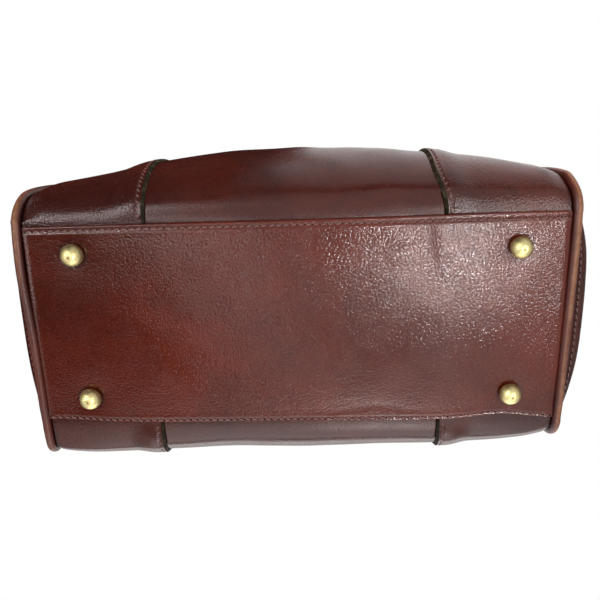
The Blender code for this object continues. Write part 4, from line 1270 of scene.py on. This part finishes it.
def chape(side, name, end, place):
    """A strap folded round a ring's bar and sewn on the wall."""
    bar_y, bar_z, _ = BARS[side]
    ring_z = MOUTH_Z - TAB_DROP
    inner_x = HANDLE_SPACING / 2 - TAB_WIDTH
    middle = end * HANDLE_SPACING / 2
    top, low = ring_z - 2 * TURN, ring_z - TAB_LENGTH
    inside = GAP + TAB_HALF
    outside = inside + 0.0019
    heights = spread(low, top, 26)
    centre = Vector((bar_y, bar_z))
    foot = Vector(wall_point(side, inner_x, level(side, inner_x, ring_z), 0.0))
    out = (centre - foot).normalized()
    up = Vector((-out.y, out.x))

    def on_wall(x, z, depth):
        y, height = wall_point(side, x, level(side, x, z), -depth)
        straight = wall_point(side, inner_x, level(side, inner_x, z), -depth)[0]
        hold = between(z, top - 0.016, top - 0.002)
        return Vector((y + (max(straight, y) - y) * hold, height))

    def strand(x):
        bend = [centre + TURN * (-math.cos(a) * out + math.sin(a) * up)
                for a in spread(0, 1.2 * math.pi, 13)]
        near, far = ([on_wall(x, z, depth) for z in heights] for depth in (inside, outside))
        return near + bend + far[::-1]

    def half_width(s):
        return TAB_WIDTH if s > 0.009 else 0.0068 + 0.0042 * math.sin(math.pi / 2 * s / 0.009)

    strands = {share: strand(middle + share * TAB_WIDTH) for share in spread(-1, 1, 15)}
    lengths = lengths_along(strands[0.0])
    grids = [[], []]
    for i, length in enumerate(lengths):
        half = half_width(min(length, lengths[-1] - length))
        for grid, away in zip(grids, (-TAB_HALF, TAB_HALF)):
            row = []
            for share, path in strands.items():
                along = heading(path, i)
                crown = 0.00012 * (1 - abs(share) ** 4)
                p = path[i] + Vector((along.y, -along.x)) * (away * (1 - crown / TAB_HALF))
                row.append((middle + share * half, side * p.x, p.y))
            grid.append(row)
    made = leather(f"{name}_{place}_tab", grids, SMALL_LOOK, f"{name}_{place}_chape", cut=ALL_CUT)
    paint(made, lambda co: 0.22 * between(co.z, 0.203, 0.209))

    def face(dx, z):
        p, q = (on_wall(middle + dx, h, outside + 0.00078) for h in (z, z + 0.001))
        along = (q - p).normalized()
        return Vector((middle + dx, side * p.x, p.y)), Vector((0, side * along.y, -along.x))

    seam_x, bend_z = 0.0084, low + 0.0075
    run = [(-seam_x, z) for z in spread(top - 0.004, bend_z, 30)]
    run += [(-seam_x * math.cos(a), bend_z - 0.0042 * math.sin(a)) for a in spread(0, math.pi, 24)]
    run += [(seam_x, z) for z in spread(bend_z, top - 0.004, 30)]
    sewing.row([face(dx, z) for dx, z in run], **TAB_SEAM)
    sewing.row([face(dx, top - 0.0045) for dx in spread(-0.0078, 0.0078, 16)], **TAB_SEAM)


def sleeve(name, place, side, middle, bar_z, body, sewn):
    """The sleeve that holds a handle's end: round the ring's bar and up both sides of the handle."""
    bar_y = side * BARS[side][0]
    reach = 0.0071
    flat_half, wrap_turn = 0.0070, 0.98
    low, high = bar_z + 0.0079, bar_z + 0.023
    flank = [(-reach, z, 1.0) for z in spread(high, low + 0.001, 12)]
    flank += [(-reach + (reach - TURN) * s, low + 0.001 - 0.0065 * s, 1 - s) for s in spread(0.12, 0.88, 6)]
    bend = spread(math.pi * 1.06, math.pi * 1.94, 9)
    path = flank + [(TURN * math.cos(a), bar_z + TURN * math.sin(a), 0.0) for a in bend]
    path += [(-y, z, wrap) for y, z, wrap in reversed(flank)]
    grids = [[], []]
    for i, (y, z, wrap) in enumerate(path):
        along = heading(path, i)
        for grid, away in zip(grids, (TAB_HALF, -TAB_HALF)):
            py, pz = y + along.y * away, z - along.x * away
            row = []
            for share in spread(-1, 1, 13):
                flat_x, turn = share * flat_half, share * wrap_turn
                round_x, round_y = abs(py) * math.sin(turn), py * math.cos(turn)
                x = middle + flat_x + (round_x - flat_x) * wrap
                row.append((x, bar_y + py + (round_y - py) * wrap, pz))
            grid.append(row)
    piece = f"{name}_{place}"
    made = leather(piece + "_sleeve", grids, SMALL_LOOK, piece + "_handle_loop", body, ALL_CUT)
    paint(made, lambda co: 0.2 * hump(co.z, bar_z, 0.004))

    def seam(face, places):
        run = []
        for turn, z in places:
            way = Vector((math.sin(turn), face * math.cos(turn), 0))
            run.append((Vector((middle, bar_y, z)) + way * (reach + TAB_HALF), way))
        sewn.row(run, **SLEEVE_SEAM)

    for face in (-1, 1):
        for turn in (-0.70, 0.70):
            seam(face, [(turn, z) for z in spread(low + 0.003, high - 0.001, 10)])
        seam(face, [(turn, high - 0.0022) for turn in spread(-0.62, 0.62, 14)])


def handle_arch(foot_z):
    """(x, z) of a handle's middle line."""
    path = []
    for angle in spread(0, math.pi, 97):
        across = math.copysign(abs(math.cos(angle)) ** ARCH_POWER, math.cos(angle))
        rise = max(math.sin(angle), 0.0) ** ARCH_POWER
        path.append((HANDLE_SPACING / 2 * across, foot_z + HANDLE_RISE * rise))
    return path


def handle_ridge(a, i):
    """The handle's outline: round, with the ridge of its seam along the inside of the arch."""
    a = (a + math.pi) % (2 * math.pi) - math.pi
    crease = 0.01 * math.sin(i * 0.9 + 3 * a) * hump(abs(a), 0.9, 0.7)
    return 1 + 0.24 * hump(a, 0.0, 0.26) - 0.05 * hump(abs(a), 0.55, 0.2) + crease


def ring_path():
    """(x, z) round a ring's wire, from the corners' arcs."""
    r = RING_CORNER
    x, high = RING_HALF - r, RING_HEIGHT - r
    path = []
    for x, z, start in ((x, r, -0.5), (x, high, 0.0), (-x, high, 0.5), (-x, r, 1.0)):
        for a in spread(math.pi * start, math.pi * (start + 0.5), 8):
            path.append((x + r * math.cos(a), z + r * math.sin(a)))
    return path


def handles():
    for side, name in SIDES:
        bar_y, bar_z, top_z = BARS[side]
        y = side * bar_y
        body = name + "_handle"
        sewn = Sewing(body)
        path = [Vector((x, y, z)) for x, z in handle_arch(top_z + HANDLE_END_LIFT)]
        cover = tube(path, AHEAD, HANDLE_RADIUS, 36, shape=handle_ridge)
        bore = tube(path, AHEAD, HANDLE_BORE, 36)
        made = loft(name + "_rolled_handle", cover + bore[::-1], (LEATHER_LOOK,), body, "oxblood_leather",
                    body, round_trip=True, bevel=0.0002)
        paint(made, lambda co: 0.30 * between(co.z, 0.315, 0.345) * (0.5 + ripple(*co, 60, 2.0)))
        run = []
        for point, inward in frames_along(path, AHEAD)[5:-5]:
            way = (math.cos(0.30) * inward + math.sin(0.30) * AHEAD).normalized()
            run.append((point + way * (HANDLE_RADIUS + 0.00055), (way + 0.9 * AHEAD).normalized()))
        sewn.row(run, **HANDLE_SEAM)
        strands = tube(path, AHEAD, CORE_RADIUS, 24,
                       shape=lambda a, i: 1 + 0.11 * math.cos(3 * a + i * 0.42))
        loft(name + "_cotton", strands, (CORE_LOOK,), body, "cotton_core", name + "_handle_core")
        for end, place in ENDS:
            middle = end * HANDLE_SPACING / 2
            ring = [Vector((middle + px, y, bar_z + pz)) for px, pz in ring_path()]
            wire = tube(ring, AHEAD, RING_WIRE, 14, closed=True)
            made = loft(f"{name}_{place}_wire", wire, (BRASS_LOOK,), name + "_rings", "antique_brass",
                        f"{name}_{place}_ring", round_trip=True, smooth_angle=70)
            paint(made, lambda co: (0.5 * hump(co.z, bar_z + RING_HEIGHT, 0.003)
                                    + 0.4 * hump(co.z, bar_z, 0.003)))
            chape(side, name, end, place)
            sleeve(name, place, side, middle, top_z, body, sewn)
        sewn.done(name + "_handle_stitches")


# Studio
def card(name, centre, width, height, normal, look, seen=False):
    """A flat rectangle facing normal."""
    facing = Vector(normal).to_track_quat("Z", "Y").to_matrix()
    bm = bmesh.new()
    corners = []
    for sx, sy in ((-1, -1), (1, -1), (1, 1), (-1, 1)):
        corners.append(bm.verts.new(Vector(centre) + facing @ Vector((sx * width / 2, sy * height / 2, 0))))
    bm.faces.new(corners)
    mesh = bpy.data.meshes.new(name)
    bm.to_mesh(mesh)
    bm.free()
    mesh.materials.append(look.material)
    made = added(name, mesh)
    made.visible_shadow = False
    made.visible_diffuse = False
    made.visible_transmission = False
    made.visible_camera = seen
    made.visible_glossy = not seen


def grey_look(name, low, high, scale=3, specular=0.0):
    look = Look(name, 0.9, specular=specular)
    look.colour(look.mix(look.noise(scale, 2), low, high))
    return look


def floor():
    """Pale paper, seen from above only, so that the camera below looks past it.

    In gloss it is dim, with a hole under the bag for the lamps below and lips round its foot.
    """
    look = grey_look("floor_paper", (0.93, 0.93, 0.93), (0.95, 0.95, 0.95))
    clear = look.add("ShaderNodeBsdfTransparent").outputs[0]
    back = look.add("ShaderNodeNewGeometry").outputs["Backfacing"]
    blend = look.add("ShaderNodeMixShader")
    for socket, value in zip(blend.inputs, (back, look.shader.outputs[0], clear)):
        look.put(socket, value)
    look.put(look.tree.nodes["Material Output"].inputs["Surface"], blend.outputs[0])
    card("floor", (0, 0, -0.0002), 2 * FLOOR_HALF, 2 * FLOOR_HALF, UP, look, seen=True)
    dim = grey_look("floor_in_gloss", (0.20, 0.20, 0.20), (0.23, 0.23, 0.23))
    along, beside = FLOOR_HALF - HOLE_X, FLOOR_HALF - HOLE_Y
    for name, x, y, width, height in (("left", -HOLE_X - along / 2, 0, along, 2 * FLOOR_HALF),
                                      ("right", HOLE_X + along / 2, 0, along, 2 * FLOOR_HALF),
                                      ("front", 0, -HOLE_Y - beside / 2, 2 * HOLE_X, beside),
                                      ("back", 0, HOLE_Y + beside / 2, 2 * HOLE_X, beside)):
        card("floor_gloss_" + name, (x, y, -0.0004), width, height, UP, dim)
    for name, x, y, width, height in LIPS:
        across = math.copysign(LIP_LENGTH / 2, x) if height else 0.0
        ahead = 0.0 if height else -LIP_LENGTH / 2
        place = (x + across, y + ahead, LIP_Z)
        card("lip_" + name, place, width or LIP_LENGTH, height or LIP_LENGTH, UP, dim)


def dark_cards():
    """Cards beside the camera that keep the white surroundings out of parts of the gloss."""
    look = grey_look("dark_card", (0.010, 0.009, 0.009), (0.016, 0.014, 0.014), scale=4, specular=0.1)
    for name, centre, width, height, normal in DARK_CARDS:
        card(name, centre, width, height, normal, look)


def world():
    """White to the camera, in gloss and through what is clear, and dimmer as a light."""
    made = bpy.data.worlds.new("studio")
    nodes = Nodes(made)
    rays = nodes.add("ShaderNodeLightPath").outputs
    mirrored = nodes.maths("MAXIMUM", rays["Is Glossy Ray"], rays["Is Transmission Ray"])
    seen = nodes.maths("MAXIMUM", rays["Is Camera Ray"], mirrored)
    strength = nodes.add("ShaderNodeMapRange", {"Value": seen, "To Min": AMBIENT, "To Max": 1.0})
    ground = nodes.tree.nodes["Background"]
    ground.inputs["Color"].default_value = (*WHITE, 1.0)
    nodes.put(ground.inputs["Strength"], strength.outputs[0])
    bpy.context.scene.world = made


def aimed(name, light, place, target):
    made = added(name, light)
    made.location = place
    made.rotation_euler = (Vector(target) - Vector(place)).to_track_quat("-Z", "Y").to_euler()
    return made


def lamp(name, place, target, width, height, power, gloss=True, fill=True):
    """An area lamp; without gloss it only fills, and without fill it only shows in the gloss."""
    light = bpy.data.lights.new(name, "AREA")
    light.color = WHITE if fill else GLOSS_COLOUR
    light.shape = "RECTANGLE"
    light.size = width
    light.size_y = height
    light.energy = power
    made = aimed(name, light, place, target)
    made.visible_glossy = gloss
    made.visible_diffuse = fill


def sun(name, place, strength, spread_deg, gloss=True):
    light = bpy.data.lights.new(name, "SUN")
    light.energy = strength
    light.angle = math.radians(spread_deg)
    aimed(name, light, place, (0, 0, 0)).visible_glossy = gloss


def lamps():
    sun("key_above", (-1.2, -1.5, 2.2), 1.75, 28, gloss=False)
    sun("fill_above", (1.6, 0.9, 1.6), 1.1, 40)
    lamp("soft_below_left", (-0.95, -0.75, -0.95), (0, 0, 0.03), 1.0, 0.6, 4.0, gloss=False)
    lamp("soft_below_right", (0.95, -0.85, -0.95), (0, 0, 0.03), 1.0, 0.6, 4.4, gloss=False)
    for row in GLOSS_LAMPS:
        lamp(*row, fill=False)
    for k in range(4):
        for row in range(3):
            place = (-0.98 + 0.17 * k, -0.15 - 0.36 * row - 0.09 * (k % 2), LOW_Z)
            lamp(f"bend_left_{k}_{row}", place, (-0.1, -0.05, 0), 0.06, 0.11, 0.85, fill=False)


def camera():
    data = bpy.data.cameras.new("photo_camera")
    data.lens = 42.0
    data.sensor_width = 36.0
    data.clip_start = 0.01
    made = added("photo_camera", data)
    back = -Vector(CAMERA_FORWARD).normalized()
    up = back.cross(Vector(CAMERA_RIGHT).normalized()).normalized()
    axes = Matrix((up.cross(back), up, back)).transposed().to_4x4()
    made.matrix_world = Matrix.Translation(CAMERA_PLACE) @ axes
    bpy.context.scene.camera = made


base_panel()
feet()
walls()
ends()
lining()
facings()
for side, side_name in SIDES:
    zip_flap(side, side_name)
    zip_teeth(side, side_name)
zip_ends()
slider()
relook("zip_pull", BRASS_LOOK)
handles()
sewing.done("seam_stitches")
relook("base_board", BOARD_LOOK)
for foot in FEET:
    relook("foot_washer_" + foot, BRASS_LOOK)
floor()
dark_cards()
world()
lamps()
camera()
bpy.context.scene.view_settings.view_transform = "Standard"
